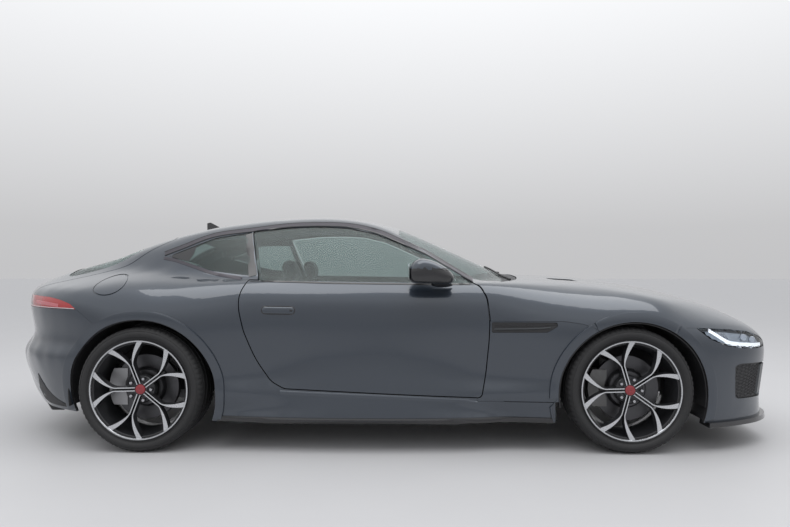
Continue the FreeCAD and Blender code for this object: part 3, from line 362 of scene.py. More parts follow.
def right_seat():
    """A bucket seat: shell, padded cushion, padded back with side bolsters, and a head restraint."""
    side_name = "right"
    middle = -SEAT_PLACE

    def block(size, place, round_off=0.03, form_of=None):
        def build(form):
            bmesh.ops.create_cube(form, size=2.0)
            bmesh.ops.bevel(form, geom=form.edges[:], offset=2 * round_off / max(size), segments=4,
                            affect="EDGES")
            for vert in form.verts:
                vert.co = Vector((vert.co.x * size[0] / 2, vert.co.y * size[1] / 2, vert.co.z * size[2] / 2))
            bmesh.ops.subdivide_edges(form, edges=form.edges[:], cuts=2, use_grid_fill=True)
            for vert in form.verts:
                if form_of:
                    vert.co = form_of(vert.co)
                vert.co = place(vert.co)
        return build

    def low(spot):
        return Vector((spot.x - 0.095, spot.y + middle, spot.z + 0.345))

    def leaned(spot):
        c, s = math.cos(SEAT_LEAN), math.sin(SEAT_LEAN)
        x, z = spot.x, spot.z
        return Vector((-0.330 + x * c - z * s, spot.y + middle, 0.400 + x * s + z * c))

    def cushion_form(spot):
        rise = 0.026 * max(0.0, abs(spot.y) / 0.22 - 0.62) / 0.38
        return Vector((spot.x, spot.y, spot.z + (rise if spot.z > 0 else 0.0)))

    def back_form(spot):
        waist = 1.0 - 0.10 * max(0.0, (spot.z - 0.05) / 0.24)
        swell_out = 0.022 * max(0.0, abs(spot.y) / 0.21 - 0.60) / 0.40
        return Vector((spot.x + (swell_out if spot.x > 0 else 0.0), spot.y * waist, spot.z))

    def shell_place(spot):
        return Vector((spot.x - 0.100, spot.y + middle, spot.z + 0.250))

    def shift(dx, dz, turn):
        return lambda spot: turn(spot + Vector((dx, 0, dz)))

    shell = solid_of("seat_base_%s" % side_name, block((0.47, 0.42, 0.115), shell_place), cabin)
    cushion = solid_of("seat_cushion_%s" % side_name, block((0.47, 0.455, 0.085), low, form_of=cushion_form),
                       leather)
    swell(cushion, 0.012)
    seamed(cushion, [lambda p, e=e: abs(p.y - middle) - e for e in (0.148,)]
           + [lambda p, x=x: (p.x - x) if abs(p.y - middle) < 0.148 else 1.0 for x in (-0.20, -0.10, 0.0)])
    back = solid_of("seat_back_%s" % side_name,
                    block((0.090, 0.445, 0.515), shift(-0.058, 0.285, leaned), form_of=back_form), leather)
    swell(back, 0.012)

    def up_back(p):
        c, s = math.cos(SEAT_LEAN), math.sin(SEAT_LEAN)
        return -(p.x + 0.330) * s + (p.z - 0.400) * c

    seamed(back, [lambda p: abs(p.y - middle) - 0.140]
           + [lambda p, z=z: (up_back(p) - z) if abs(p.y - middle) < 0.140 else 1.0 for z in (0.16, 0.26,
                                                                                              0.36)])
    head = solid_of("head_restraint_%s" % side_name,
                    block((0.072, 0.215, 0.125), shift(-0.064, 0.630, leaned), round_off=0.035), leather)
    swell(head, 0.008)
    posts = []
    for place in (-0.045, 0.045):
        foot = leaned(Vector((-0.064, place, 0.530)))
        top = leaned(Vector((-0.064, place, 0.590)))
        posts.append(tube("head_post_%s_%d" % (side_name, place > 0), [foot, top], 0.006, nut_chrome, "root",
                          12))
    return [cushion, back, head], [shell] + posts


def seats():
    pads, hard = right_seat()
    for piece in pads + [twin_of(piece) for piece in pads]:
        soft = piece.modifiers.new("smooth", "SUBSURF")
        soft.levels = soft.render_levels = 1
    for piece in hard + [twin_of(piece) for piece in hard]:
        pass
    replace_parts(pads[0], "seats")


seats()


# The outer skin, found by rays on the frame's own panels
def tree_of(*names):
    form = bmesh.new()
    for name in names:
        form.from_mesh(nodes[name].data)
    tree = BVHTree.FromBMesh(form)
    form.free()
    return tree


def both_names(*names):
    return [name + "_" + side for name in names for side in SIDES]


PANELS = (both_names("door", "body_side", "door_glass")
          + ["bonnet", "roof_panel", "tailgate", "rear_glass", "windscreen", "front_bumper", "rear_bumper",
             "lower_wings", "quarter_glass", "headlamps", "tail_lamps", "fuel_flap", "grilles",
             "rear_diffuser", "cowl_panel"])
skin = tree_of(*PANELS)


def side_spot(x, z, side, depth=0.0, tree=None):
    """The point on the body's side at one place in side view, at a depth below the skin."""
    start = Vector((x, side * 1.4, z))
    hit, normal, _, _ = (tree or skin).ray_cast(start, Vector((0, -side, 0)))
    if hit is None:
        return None
    if normal.y * side < 0:
        normal = -normal
    return hit - normal * depth


def top_spot(x, y, depth=0.0, tree=None):
    hit, normal, _, _ = (tree or skin).ray_cast(Vector((x, y, 2.5)), Vector((0, 0, -1)))
    if hit is None:
        return None
    if normal.z < 0:
        normal = -normal
    return hit - normal * depth


def arc_path(centre, radius, first, last, steps):
    turns = [math.radians(first + (last - first) * k / steps) for k in range(steps + 1)]
    return [(centre[0] + radius * math.cos(t), centre[1] + radius * math.sin(t)) for t in turns]


# Road wheels
HUB = 0.334
TYRE_RADIUS = 0.334
BEAD_RADIUS = 0.250
FLANGE_RADIUS = 0.269
AXLES = {"front": (1.311, 0.7985, 0.245, 0.232), "rear": (-1.311, 0.8135, 0.275, 0.264)}
STEMS = 5
FIRST_STEM = 36.0
SPLIT = 0.148
SPREAD = 17.0
NUT_CIRCLE = 0.060


def tyre(end, side_name):
    """A road tyre with four ring grooves, shoulder sipes and a ribbed side wall."""
    axle, track, width, rim = AXLES[end]
    side = SIDES[side_name]
    half, bead = width / 2, rim / 2 - 0.009
    wall = [(bead, BEAD_RADIUS + 0.001), (bead + 0.001, FLANGE_RADIUS + 0.002),
            (half - 0.012, FLANGE_RADIUS + 0.010), (half - 0.006, FLANGE_RADIUS + 0.016),
            (half - 0.004, FLANGE_RADIUS + 0.018), (half - 0.0015, FLANGE_RADIUS + 0.026),
            (half - 0.0005, FLANGE_RADIUS + 0.033), (half - 0.003, FLANGE_RADIUS + 0.040),
            (half - 0.006, FLANGE_RADIUS + 0.0445), (half - 0.0045, FLANGE_RADIUS + 0.0465),
            (half - 0.010, TYRE_RADIUS - 0.014), (half - 0.017, TYRE_RADIUS - 0.007)]
    tread = [(half - 0.028, TYRE_RADIUS - 0.0015)]
    for place in (0.62, 0.22, -0.22, -0.62):
        middle = place * (half - 0.02)
        tread += [(middle + 0.0055, TYRE_RADIUS - 0.0002), (middle + 0.004, TYRE_RADIUS - 0.007),
                  (middle - 0.004, TYRE_RADIUS - 0.007), (middle - 0.0055, TYRE_RADIUS - 0.0002)]
    tread += [(-(half - 0.028), TYRE_RADIUS - 0.0015)]
    section = wall + tread + [(-a, r) for a, r in reversed(wall)]
    shoulder = {len(wall) - 1, len(wall), len(wall) + len(tread) - 1, len(wall) + len(tread)}

    def groove(i, j):
        return 0.0045 if j in shoulder and i % 4 == 0 else 0.0

    piece = revolve("tyre_shape_%s_%s" % (end, side_name), section, (axle, side * track, HUB), rubber,
                    "wheel_%s_%s" % (end, side_name), 288, groove)
    sharp(piece, 30)
    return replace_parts(piece, "tyre_%s_%s" % (end, side_name))


def ridge(points, faces, tints, path, widths, rise, drop, frame_at):
    """One spoke ridge: a bright face and dark flanks along a path of (radius, angle)."""
    start = len(points)
    for (radius, angle), width, top in zip(path, widths, rise):
        half = width / 2 / radius
        flank = (width / 2 + 0.004) / radius
        for turn, depth in ((angle - half, top), (angle + half, top), (angle + flank, top + drop),
                            (angle - flank, top + drop)):
            points.append(frame_at(radius, turn, depth))
    for k in range(len(path) - 1):
        for j in range(4):
            a, b = start + 4 * k, start + 4 * (k + 1)
            faces.append((a + j, a + (j + 1) % 4, b + (j + 1) % 4, b + j))
            tints.append(0 if j == 0 else 1)
    for end in (start, len(points) - 4):
        faces.append(tuple(range(end, end + 4)))
        tints.append(1)


def spokes(end, side_name):
    """Five stems of two thin ridges that part and widen towards the rim."""
    axle, track, _, rim = AXLES[end]
    side = SIDES[side_name]
    face = side * (track + rim / 2 - 0.004)
    points, faces, tints = [], [], []

    def frame_at(radius, turn, depth):
        return (axle + radius * math.cos(turn), face - side * depth, HUB + radius * math.sin(turn))

    steps = 26
    for stem in range(STEMS):
        middle = math.radians(FIRST_STEM + 360 / STEMS * stem)
        for way in (-1, 1):
            path, widths, rise = [], [], []
            for k in range(steps + 1):
                radius = 0.030 + (BEAD_RADIUS + 0.010 - 0.030) * k / steps
                parting = max(0.0, (radius - SPLIT + 0.014) / (BEAD_RADIUS - SPLIT))
                bend = parting ** 1.4 * 0.89
                offset = 0.0082 + bend * (BEAD_RADIUS * math.sin(math.radians(SPREAD)) - 0.0082)
                widths.append(0.0058 + 0.0215 * max(0.0, (radius - 0.150) / 0.092) ** 0.9)
                path.append((radius, middle + way * math.asin(offset / max(radius, offset * 1.05))))
                rise.append(0.024 * max(0.0, 1 - radius / 0.21) ** 1.4 + 0.002)
            ridge(points, faces, tints, path, widths, rise, 0.034, frame_at)
        web = [(0.030 + 0.128 * k / 8, middle) for k in range(9)]
        ridge(points, faces, tints, web, [0.012] * 9, [0.032] * 9, 0.022, frame_at)
        for k in range(len(web) - 1):
            tints[-(4 * (len(web) - 1) + 2) + 4 * k] = 1
    piece = mesh_object("spokes_%s_%s" % (end, side_name), points, faces, [machined, pocket],
                        "wheel_%s_%s" % (end, side_name), smooth=False)
    for polygon, tint in zip(piece.data.polygons, tints):
        polygon.material_index = tint
    form = bmesh.new()
    form.from_mesh(piece.data)
    bmesh.ops.recalc_face_normals(form, faces=form.faces)
    form.to_mesh(piece.data)
    form.free()
    return bevel(piece, 0.0008, 2, 30)


def rim_shell(end, side_name):
    """Barrel, bright outer ring, hub face, nuts and a plain red cap."""
    axle, track, _, rim = AXLES[end]
    side = SIDES[side_name]
    body = "wheel_%s_%s" % (end, side_name)
    centre = (axle, side * track, HUB)
    half = rim / 2
    barrel = [(half - 0.004, FLANGE_RADIUS - 0.003), (half - 0.001, FLANGE_RADIUS), (half - 0.008,
                                                                                     FLANGE_RADIUS),
              (half - 0.010, BEAD_RADIUS + 0.002), (half - 0.05, BEAD_RADIUS - 0.004), (0.0,
                                                                                        BEAD_RADIUS - 0.020),
              (-half + 0.03, BEAD_RADIUS - 0.004), (-half + 0.010, BEAD_RADIUS + 0.002),
              (-half + 0.008, FLANGE_RADIUS), (-half + 0.001, FLANGE_RADIUS), (-half + 0.001,
                                                                               FLANGE_RADIUS - 0.008),
              (-half + 0.02, BEAD_RADIUS - 0.010), (0.0, BEAD_RADIUS - 0.027), (half - 0.05,
                                                                                BEAD_RADIUS - 0.011),
              (half - 0.014, BEAD_RADIUS - 0.002)]
    shell = revolve("barrel_%s_%s" % (end, side_name), [(side * a, r) for a, r in barrel], centre, pocket,
                    body)
    sharp(shell, 40)
    ring = [(half - 0.0035, FLANGE_RADIUS - 0.0035), (half - 0.0005, FLANGE_RADIUS - 0.004),
            (half - 0.0003, FLANGE_RADIUS - 0.010), (half - 0.003, FLANGE_RADIUS - 0.012),
            (half - 0.008, FLANGE_RADIUS - 0.012)]
    lip = revolve("rim_ring_%s_%s" % (end, side_name), [(side * a, r) for a, r in ring], centre, machined,
                  body, 144)
    sharp(lip, 40)
    face = half - 0.004
    hub = [(face - 0.060, 0.030), (face - 0.060, 0.078), (face - 0.040, 0.076), (face - 0.034, 0.070),
           (face - 0.032, 0.040), (face - 0.026, 0.036), (face - 0.026, 0.001)]
    disc = revolve("hub_%s_%s" % (end, side_name), [(side * a, r) for a, r in hub], centre, pocket, body, 64)
    sharp(disc, 40)
    cap = [(face - 0.028, 0.001), (face - 0.028, 0.0265), (face - 0.0215, 0.0265), (face - 0.019, 0.0245),
           (face - 0.0195, 0.0215), (face - 0.018, 0.018), (face - 0.0165, 0.010), (face - 0.016, 0.001)]
    badge = revolve("wheel_cap_%s_%s" % (end, side_name), [(side * a, r) for a, r in cap], centre, cap_red,
                    body, 48)
    nuts = []
    for k in range(STEMS):
        turn = math.radians(FIRST_STEM + 36 + 72 * k)
        spot = (axle + NUT_CIRCLE * math.cos(turn), side * (track + face - 0.034),
                HUB + NUT_CIRCLE * math.sin(turn))
        nut = revolve("wheel_nut_%s_%s_%d" % (end, side_name, k),
                      [(0, 0.0005), (0, 0.0105), (side * 0.006, 0.0105), (side * 0.009, 0.009),
                       (side * 0.020, 0.009), (side * 0.022, 0.0075), (side * 0.022, 0.0005)],
                      spot, nut_chrome, body, 6)
        nuts.append(sharp(nut, 25))
    return shell


def brake_disc(end, side_name):
    """A vented disc, turned from one section."""
    axle, track, _, _ = AXLES[end]
    side = SIDES[side_name]
    centre = (axle, side * (track + 0.010), HUB)
    section = [(-0.014, 0.080), (-0.014, 0.176), (-0.012, 0.178), (-0.003, 0.178), (-0.003, 0.172),
               (0.003, 0.172), (0.003, 0.178), (0.012, 0.178), (0.014, 0.176), (0.014, 0.112),
               (0.012, 0.108), (0.030, 0.100), (0.036, 0.094), (0.036, 0.060), (0.0, 0.060)]
    piece = revolve("brake_disc_%s_%s" % (end, side_name), [(side * a, r) for a, r in section], centre,
                    disc_metal,
                    "wheel_%s_%s" % (end, side_name), 96)
    return sharp(piece, 35)


def wheel(end, side_name):
    tyre(end, side_name)
    made = spokes(end, side_name)
    rim_shell(end, side_name)
    brake_disc(end, side_name)
    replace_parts(made, "rim_%s_%s" % (end, side_name))


for end in AXLES:
    for side_name in SIDES:
        wheel(end, side_name)


# Bands and patches that lie on the skin
def filled(points, stride):
    """Where a ray met nothing, take the nearest point of the same row or column that did."""
    for k, spot in enumerate(points):
        if spot is None:
            near = [j for j in range(len(points)) if points[j] is not None]
            best = min(near,
                       key=lambda j: (abs(j // stride - k // stride) + abs(j % stride - k % stride) * 0.4))
            points[k] = points[best].copy()
    return points


def skin_band(name, path, section, spot, finish, body="root", closed=False):
    """A strip along a flat path; its section is (offset across, height over the skin)."""
    points = []
    count = len(path)
    for k, (a, b) in enumerate(path):
        before = path[k - 1] if k or closed else path[k]
        after = path[(k + 1) % count] if k + 1 < count or closed else path[k]
        way = Vector((after[0] - before[0], after[1] - before[1])).normalized()
        for offset, rise in section:
            points.append(spot(a - way.y * offset, b + way.x * offset, -rise))
    points = filled(points, len(section))
    faces = ring_faces(count, len(section), closed_rows=closed)
    if not closed:
        faces += [tuple(range(len(section))), tuple(range(len(points) - len(section), len(points)))]
    piece = sharp(tidy(mesh_object(name, points, faces, finish, body)), 40)
    return piece


def skin_patch(name, outline, rises, spot, finish, body="root"):
    """A plate over a closed outline; rises are (share of the outline, height over the skin)."""
    middle = (sum(a for a, b in outline) / len(outline), sum(b for a, b in outline) / len(outline))
    points = []
    for share, rise in rises:
        for a, b in outline:
            points.append(spot(middle[0] + (a - middle[0]) * share, middle[1] + (b - middle[1]) * share,
                               -rise))
    good = [p for p in points if p]
    points = [p or good[0] for p in points]
    count = len(outline)
    faces = ring_faces(len(rises), count)
    faces.append(tuple(range(count * (len(rises) - 1), count * len(rises))))
    piece = sharp(tidy(mesh_object(name, points, faces, finish, body)), 40)
    return piece


def on_side(side, tree=None):
    return lambda x, z, depth: side_spot(x, z, side, depth, tree)


def on_top(tree=None):
    return lambda x, y, depth: top_spot(x, y, depth, tree)


def flat_path(corners, steps=8):
    return [(p.x, p.y) for p in smooth_path([(a, b, 0) for a, b in corners], steps)]


def stadium(middle, length, height, lean=0.0, steps=10):
    """A bar with round ends."""
    reach, radius = (length - height) / 2, height / 2
    outline = []
    for end, first in ((1, -90), (-1, 90)):
        for k in range(steps + 1):
            turn = math.radians(first + 180 * k / steps)
            outline.append((end * reach + radius * math.cos(turn), radius * math.sin(turn)))
    c, s = math.cos(lean), math.sin(lean)
    return [(middle[0] + a * c - b * s, middle[1] + a * s + b * c) for a, b in outline]


ARCHES = {"front": (1.327, 0.301, 0.401), "rear": (-1.315, 0.301, 0.409)}
FLARE = [(0.0, 0.0003), (-0.003, 0.0010), (-0.038, 0.0125), (-0.0445, 0.0115), (-0.0480, 0.0002)]


def arch_flares(side_name):
    """A rolled lip round each wheel opening, cut where the panels part."""
    side = SIDES[side_name]
    parts = (("front", 120.5, 199, "root", "sill"), ("front", 59.0, 118.5, "bonnet_body", "bonnet"),
             ("front", -19, 57.0, "root", "bumper"), ("rear", -19, 199, "root", "haunch"))
    for end, first, last, body, tag in parts:
        a, b, radius = ARCHES[end]
        path = arc_path((a, b), radius + 0.002, first, last, max(12, int((last - first) / 3)))
        skin_band("flare_%s_%s" % (tag, side_name), path, FLARE, on_side(side), paint, body)


WINDOW_TOP = ((0.486, 0.905), (0.261, 1.0435), (0.187, 1.0805), (0.063, 1.135), (-0.064, 1.188), (-0.219,
                                                                                                  1.222),
              (-0.387, 1.230), (-0.580, 1.224), (-0.787, 1.198), (-1.020, 1.167), (-1.200, 1.098), (-1.312,
                                                                                                    1.056))
WINDOW_FOOT = ((-1.312, 1.052), (-1.219, 1.035), (-1.100, 1.000), (-0.993, 0.968), (-0.900, 0.950), (-0.800,
                                                                                                     0.936))


def window_trim(side_name):
    """Dark surround of the side windows, the belt strip and the quarter window's border."""
    side = SIDES[side_name]
    spot = on_side(side)
    band = [(-0.003, 0.0004), (-0.0035, 0.0022), (-0.0240, 0.0022), (-0.0250, 0.0004)]
    skin_band("window_surround_%s" % side_name, flat_path(WINDOW_TOP), band, spot, surround)
    rim = [(-0.0245, 0.0004), (-0.0250, 0.0030), (-0.0280, 0.0030), (-0.0285, 0.0004)]
    skin_band("window_rim_%s" % side_name, flat_path(WINDOW_TOP), rim, spot, gloss_black)
    skin_band("window_surround_foot_%s" % side_name, flat_path(WINDOW_FOOT),
              [(0.0, 0.0004), (-0.0005, 0.0020), (-0.0160, 0.0020), (-0.0170, 0.0004)], spot, surround)
    edge = [(-0.0005, 0.0006), (-0.001, 0.0034), (-0.0045, 0.0034), (-0.005, 0.0006)]
    skin_band("window_bead_%s" % side_name, flat_path(WINDOW_TOP), edge, spot, gloss_black)
    belt = ((-0.744, 0.914), (-0.500, 0.909), (-0.294, 0.903), (0.000, 0.899), (0.250, 0.897), (0.470, 0.897))
    skin_band("belt_strip_%s" % side_name, flat_path(belt),
              [(0.004, 0.0004), (0.0035, 0.0026), (-0.0035, 0.0026), (-0.004, 0.0004)], spot, gloss_black,
              "door_%s_body" % side_name)
    pillar = ((-0.797, 1.190), (-0.773, 1.100), (-0.746, 1.000), (-0.730, 0.944))
    skin_band("quarter_border_%s" % side_name, pillar,
              [(0.010, 0.0003), (0.010, 0.0012), (-0.034, 0.0012), (-0.034, 0.0003)], spot, gloss_black)
    tip = ((-1.285, 1.054), (-1.205, 1.080), (-1.120, 1.118), (-1.128, 1.060), (-1.150, 1.022), (-1.215,
                                                                                                 1.038))
    skin_patch("quarter_corner_%s" % side_name, tip, ((1.0, 0.0002), (1.0, 0.0010), (0.5, 0.0010)), spot,
               gloss_black)


def door_handle(side_name):
    side = SIDES[side_name]
    spot = on_side(side)
    body = "door_%s_body" % side_name
    middle, lean = (-0.574, 0.7575), -0.02
    skin_patch("handle_recess_%s" % side_name, stadium(middle, 0.184, 0.046, lean),
               ((1.0, 0.0001), (0.985, 0.0006), (0.5, 0.0006)), spot, gloss_black, body)
    skin_patch("handle_%s" % side_name, stadium(middle, 0.174, 0.036, lean),
               ((1.0, 0.0005), (0.99, 0.0038), (0.93, 0.0062), (0.75, 0.0078), (0.4, 0.0084)), spot, paint,
               body)
    skin_patch("handle_sensor_%s" % side_name, stadium((middle[0] + 0.070, middle[1] - 0.001), 0.016, 0.012),
               ((1.0, 0.0070), (0.9, 0.0088), (0.3, 0.0092)), spot, gloss_black, body)


def sill_blade(side_name):
    side = SIDES[side_name]
    spot = on_side(side)
    low = ((-0.895, 0.176), (-0.5, 0.172), (0.0, 0.172), (0.5, 0.172), (0.900, 0.172))
    skin_band("sill_blade_%s" % side_name, flat_path(low),
              [(0.016, 0.0004), (0.0145, 0.0060), (0.006, 0.0085), (-0.0095, 0.0100), (-0.0105, 0.0004)],
              spot,
              gloss_black)
    crease = ((-0.560, 0.3225), (-0.281, 0.312), (0.100, 0.298), (0.500, 0.276))
    skin_band("sill_crease_%s" % side_name, flat_path(crease),
              [(0.005, 0.0002), (0.001, 0.0022), (-0.007, 0.0024), (-0.016, 0.0002)], spot, paint)


def wing_vent(side_name):
    """The dark vent's lower blade and lip."""
    side = SIDES[side_name]
    tree = tree_of("grilles")
    spot = on_side(side, tree)
    skin_band("vent_blade_%s" % side_name, flat_path(((0.590, 0.6585), (0.700, 0.6605), (0.820, 0.6640),
                                                      (0.885, 0.6690))),
              [(0.006, 0.0002), (0.005, 0.0060), (-0.002, 0.0064), (-0.005, 0.0002)], spot, satin_dark)
    skin_band("vent_rib_%s" % side_name, flat_path(((0.590, 0.6790), (0.720, 0.6795), (0.850, 0.6820),
                                                    (0.920, 0.6870))),
              [(0.002, 0.0002), (0.0015, 0.0040), (-0.0015, 0.0040), (-0.002, 0.0002)], spot, gloss_black)


ARCH_SCREENS = (("front", -19, 24), ("front", 158, 199), ("rear", 160, 190), ("rear", -19, 20))


def arch_screens(side_name):
    """Dark sheets that close each wheel housing down to the sill and the bumpers."""
    side = SIDES[side_name]
    for k, (end, first, last) in enumerate(ARCH_SCREENS):
        a, b, radius = ARCHES[end]
        points = []
        for reach in (0.600, 0.860):
            for grow in (0.012, 0.016):
                points += [(x, side * reach, z) for x, z in arc_path((a, b), radius + grow, first, last, 10)]
        count = len(points) // 4
        order = points[:count] + points[2 * count:3 * count] + points[3 * count:] + points[count:2 * count]
        faces = ring_faces(4, count, closed_rows=True, closed_count=False)
        faces += [tuple(row * count for row in range(4)), tuple(row * count + count - 1 for row in range(4))]
        tidy(mesh_object("arch_screen_%s_%d" % (side_name, k), order, faces, trim_black))


REAR_CORNER = ((-1.985, 0.385), (-1.945, 0.325), (-1.880, 0.268), (-1.810, 0.235), (-1.760, 0.222), (-1.765,
                                                                                                     0.210),
               (-1.850, 0.208), (-1.930, 0.210), (-1.990, 0.225), (-2.010, 0.290))


def rear_corner(side_name):
    """The dark lower corner behind the rear wheel."""
    spot = on_side(SIDES[side_name], tree_of("rear_bumper", "rear_diffuser"))
    skin_patch("rear_corner_%s" % side_name, REAR_CORNER, ((1.0, 0.0002), (0.985, 0.0020), (0.5, 0.0024)),
               spot,
               trim_black)


# Lamps
def skin_faces(node_name, side, depth, thickness, name, finish, body="root"):
    """A shell shaped like the outer face of a frame node, at a depth below it."""
    form = bmesh.new()
    form.from_mesh(nodes[node_name].data)
    doomed = [f for f in form.faces if f.normal.y * side < 0.04 and f.normal.x < 0.6
              or f.calc_center_median().y * side < 0]
    bmesh.ops.delete(form, geom=doomed, context="FACES")
    bmesh.ops.remove_doubles(form, verts=form.verts, dist=0.0001)
    form.normal_update()
    moved = [(v, v.co - v.normal * depth) for v in form.verts]
    for vert, place in moved:
        vert.co = place
    mesh = bpy.data.meshes.new(name)
    form.to_mesh(mesh)
    form.free()
    mesh.materials.append(finish)
    piece = bpy.data.objects.new(name, mesh)
    scene_collection.objects.link(piece)
    mesh.shade_smooth()
    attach(piece, body)
    shell = piece.modifiers.new("thickness", "SOLIDIFY")
    shell.thickness, shell.offset = thickness, -1
    return piece


DAY_LIGHT = ((1.745, 0.652), (1.785, 0.628), (1.830, 0.600), (1.870, 0.583), (1.930, 0.573), (2.000, 0.566),
             (2.070, 0.560), (2.120, 0.558))


def headlamp(side_name):
    """Clear lens, dark bowl, a hooked day light along the lower edge and two projectors."""
    side = SIDES[side_name]
    tree = tree_of("headlamps")
    spot = on_side(side, tree)
    lens = skin_faces("headlamps", side, 0.0, 0.002, "headlamp_lens_%s" % side_name, lens_clear)
    skin_faces("headlamps", side, 0.020, 0.003, "headlamp_bowl_%s" % side_name, lamp_bowl)
    section = [(0.010, 0.0), (0.008, -0.003), (-0.006, -0.003), (-0.008, 0.0)]
    skin_band("day_light_%s" % side_name, flat_path(DAY_LIGHT, 6),
                      [(a, b - 0.008) for a, b in section], spot, light_white)
    for k, (x, z, size) in enumerate(((1.975, 0.609, 0.018), (2.045, 0.594, 0.017))):
        seat = spot(x, z, 0.014)
        if seat is None:
            continue
        bowl = [(0.0, 0.0005), (0.0, size), (0.008, size), (0.010, size - 0.002), (0.006, size - 0.004),
                (0.009, size * 0.5), (0.010, 0.0005)]
        unit = revolve("projector_%s_%d" % (side_name, k), [(side * a, r) for a, r in bowl], tuple(seat),
                       lamp_glass,
                       "root", 32)
    for k in range(5):
        low = [(1.775 + 0.018 * k, 0.652 - 0.0035 * k), (1.800 + 0.018 * k, 0.628 - 0.006 * k)]
        skin_band("reflector_rib_%s_%d" % (side_name, k), low, [(0.002, -0.019), (0.001, -0.013), (-0.001,
                                                                                                   -0.013),
                                                                   (-0.002, -0.019)], spot, lamp_chrome)
    return lens


def tail_lamp(side_name):
    """Red lens over a row of light bars, with a dark rear end."""
    side = SIDES[side_name]
    tree = tree_of("tail_lamps")
    spot = on_side(side, tree)
    edge = ((-1.690, 0.764), (-1.760, 0.766), (-1.900, 0.7675), (-2.060, 0.769))
    skin_band("tail_lamp_line_%s" % side_name, flat_path(edge),
              [(0.002, 0.0002), (0.0015, 0.0018), (-0.0015, 0.0018), (-0.002, 0.0002)], spot, lamp_bar)
    glow = ((-1.800, 0.779), (-1.900, 0.788), (-2.000, 0.793))
    skin_band("tail_lamp_glow_%s" % side_name, flat_path(glow),
              [(0.009, 0.0002), (0.008, 0.0012), (-0.008, 0.0012), (-0.009, 0.0002)], spot, lamp_pink)
    end = ((-2.050, 0.7735), (-2.105, 0.7735), (-2.130, 0.824), (-2.085, 0.822))
    skin_patch("tail_lamp_end_%s" % side_name, end, ((1.0, 0.0002), (0.99, 0.0014), (0.5, 0.0014)), spot,
               lamp_dark)


for side_name in SIDES:
    arch_flares(side_name)
    window_trim(side_name)
    door_handle(side_name)
    sill_blade(side_name)
    wing_vent(side_name)
    arch_screens(side_name)
    rear_corner(side_name)
    tail_lamp(side_name)
lenses = [headlamp(side_name) for side_name in SIDES]
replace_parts(lenses[0], "headlamps")


# Door mirrors
MIRROR_SIDE = ((0.128, 0.962), (0.135, 0.925), (0.155, 0.909), (0.200, 0.9045), (0.280, 0.9035), (0.350,
                                                                                                  0.905),
               (0.367, 0.922), (0.366, 0.948), (0.334, 0.984), (0.272, 1.020), (0.212, 1.036), (0.175, 1.031),
               (0.146, 1.008), (0.133, 0.985))
MIRROR_MIDDLE = (0.246, 0.966)
MIRROR_PARTING = 0.983
MIRROR_RINGS = ((0.858, 0.60), (0.868, 0.80), (0.884, 0.92), (0.905, 0.985), (0.935, 1.0), (0.965, 0.985),
                (0.990, 0.93), (1.006, 0.82), (1.014, 0.66), (1.0175, 0.42), (1.0185, 0.15))


def closed_path(corners, steps=5):
    """A soft closed line through corners (a, b)."""
    path = []
    count = len(corners)
    for k in range(count):
        p0, p1, p2, p3 = [Vector(corners[(k + j) % count]) for j in (-1, 0, 1, 2)]
        for i in range(steps):
            t = i / steps
            path.append(0.5 * (2 * p1 + (p2 - p0) * t + (2 * p0 - 5 * p1 + 4 * p2 - p3) * t ** 2
                               + (3 * p1 - p0 - 3 * p2 + p3) * t ** 3))
    return path


def mirror(side_name):
    """Painted cap over a gloss black lower half, a stalk on the door and a glass set in the rear face."""
    side = SIDES[side_name]
    body = "door_%s_body" % side_name
    outline = closed_path(MIRROR_SIDE)
    count = len(outline)
    points = []
    for reach, share in MIRROR_RINGS:
        for spot in outline:
            x = MIRROR_MIDDLE[0] + (spot.x - MIRROR_MIDDLE[0]) * share
            z = MIRROR_MIDDLE[1] + (spot.y - MIRROR_MIDDLE[1]) * share
            points.append((max(x, 0.134), side * reach, z))
    faces = ring_faces(len(MIRROR_RINGS), count)
    faces += [tuple(range(count)), tuple(range(len(points) - count, len(points)))]
    head = tidy(mesh_object("mirror_head_%s" % side_name, points, faces, [paint, gloss_black], body))
    for polygon in head.data.polygons:
        polygon.material_index = 0 if polygon.center.z > MIRROR_PARTING and polygon.center.x > 0.136 else 1
    sharp(head, 50)
    parting = []
    for reach, share in MIRROR_RINGS[1:]:
        z = MIRROR_PARTING
        front = max(p[0] for p in points if abs(abs(p[1]) - reach) < 1e-6 and abs(p[2] - z) < 0.02)
        parting.append((front + 0.0006, side * reach, z))
    tube("mirror_parting_%s" % side_name, parting, 0.0016, trim_black, body, 6)
    glass_line = []
    for k in range(40):
        across, rise = (math.copysign(abs(part) ** 0.55, part)
                        for part in (math.cos(2 * math.pi * k / 40), math.sin(2 * math.pi * k / 40)))
        glass_line.append((0.1322, side * (0.935 + 0.062 * across), 0.966 + 0.047 * rise))
    back = [(x - 0.0006, y, z) for x, y, z in glass_line]
    piece = mesh_object("mirror_glass_%s" % side_name, glass_line + back,
                        ring_faces(2, 40) + [tuple(range(40)), tuple(range(40, 80))], lamp_chrome, body)
    sharp(tidy(piece), 30)
    rows = []
    for x, y, z, half_x, half_z in ((0.312, 0.846, 0.893, 0.058, 0.012), (0.308, 0.866, 0.900, 0.055, 0.012),
                                    (0.302, 0.890, 0.912, 0.050, 0.014), (0.298, 0.912, 0.930, 0.046, 0.018)):
        for k in range(24):
            turn = 2 * math.pi * k / 24
            rows.append((x + half_x * math.cos(turn), side * y, z + half_z * math.sin(turn)))
    faces = ring_faces(4, 24) + [tuple(range(24)), tuple(range(72, 96))]
    stalk = sharp(tidy(mesh_object("mirror_stalk_%s" % side_name, rows, faces, gloss_black, body)), 50)
    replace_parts(head, "mirror_%s" % side_name)


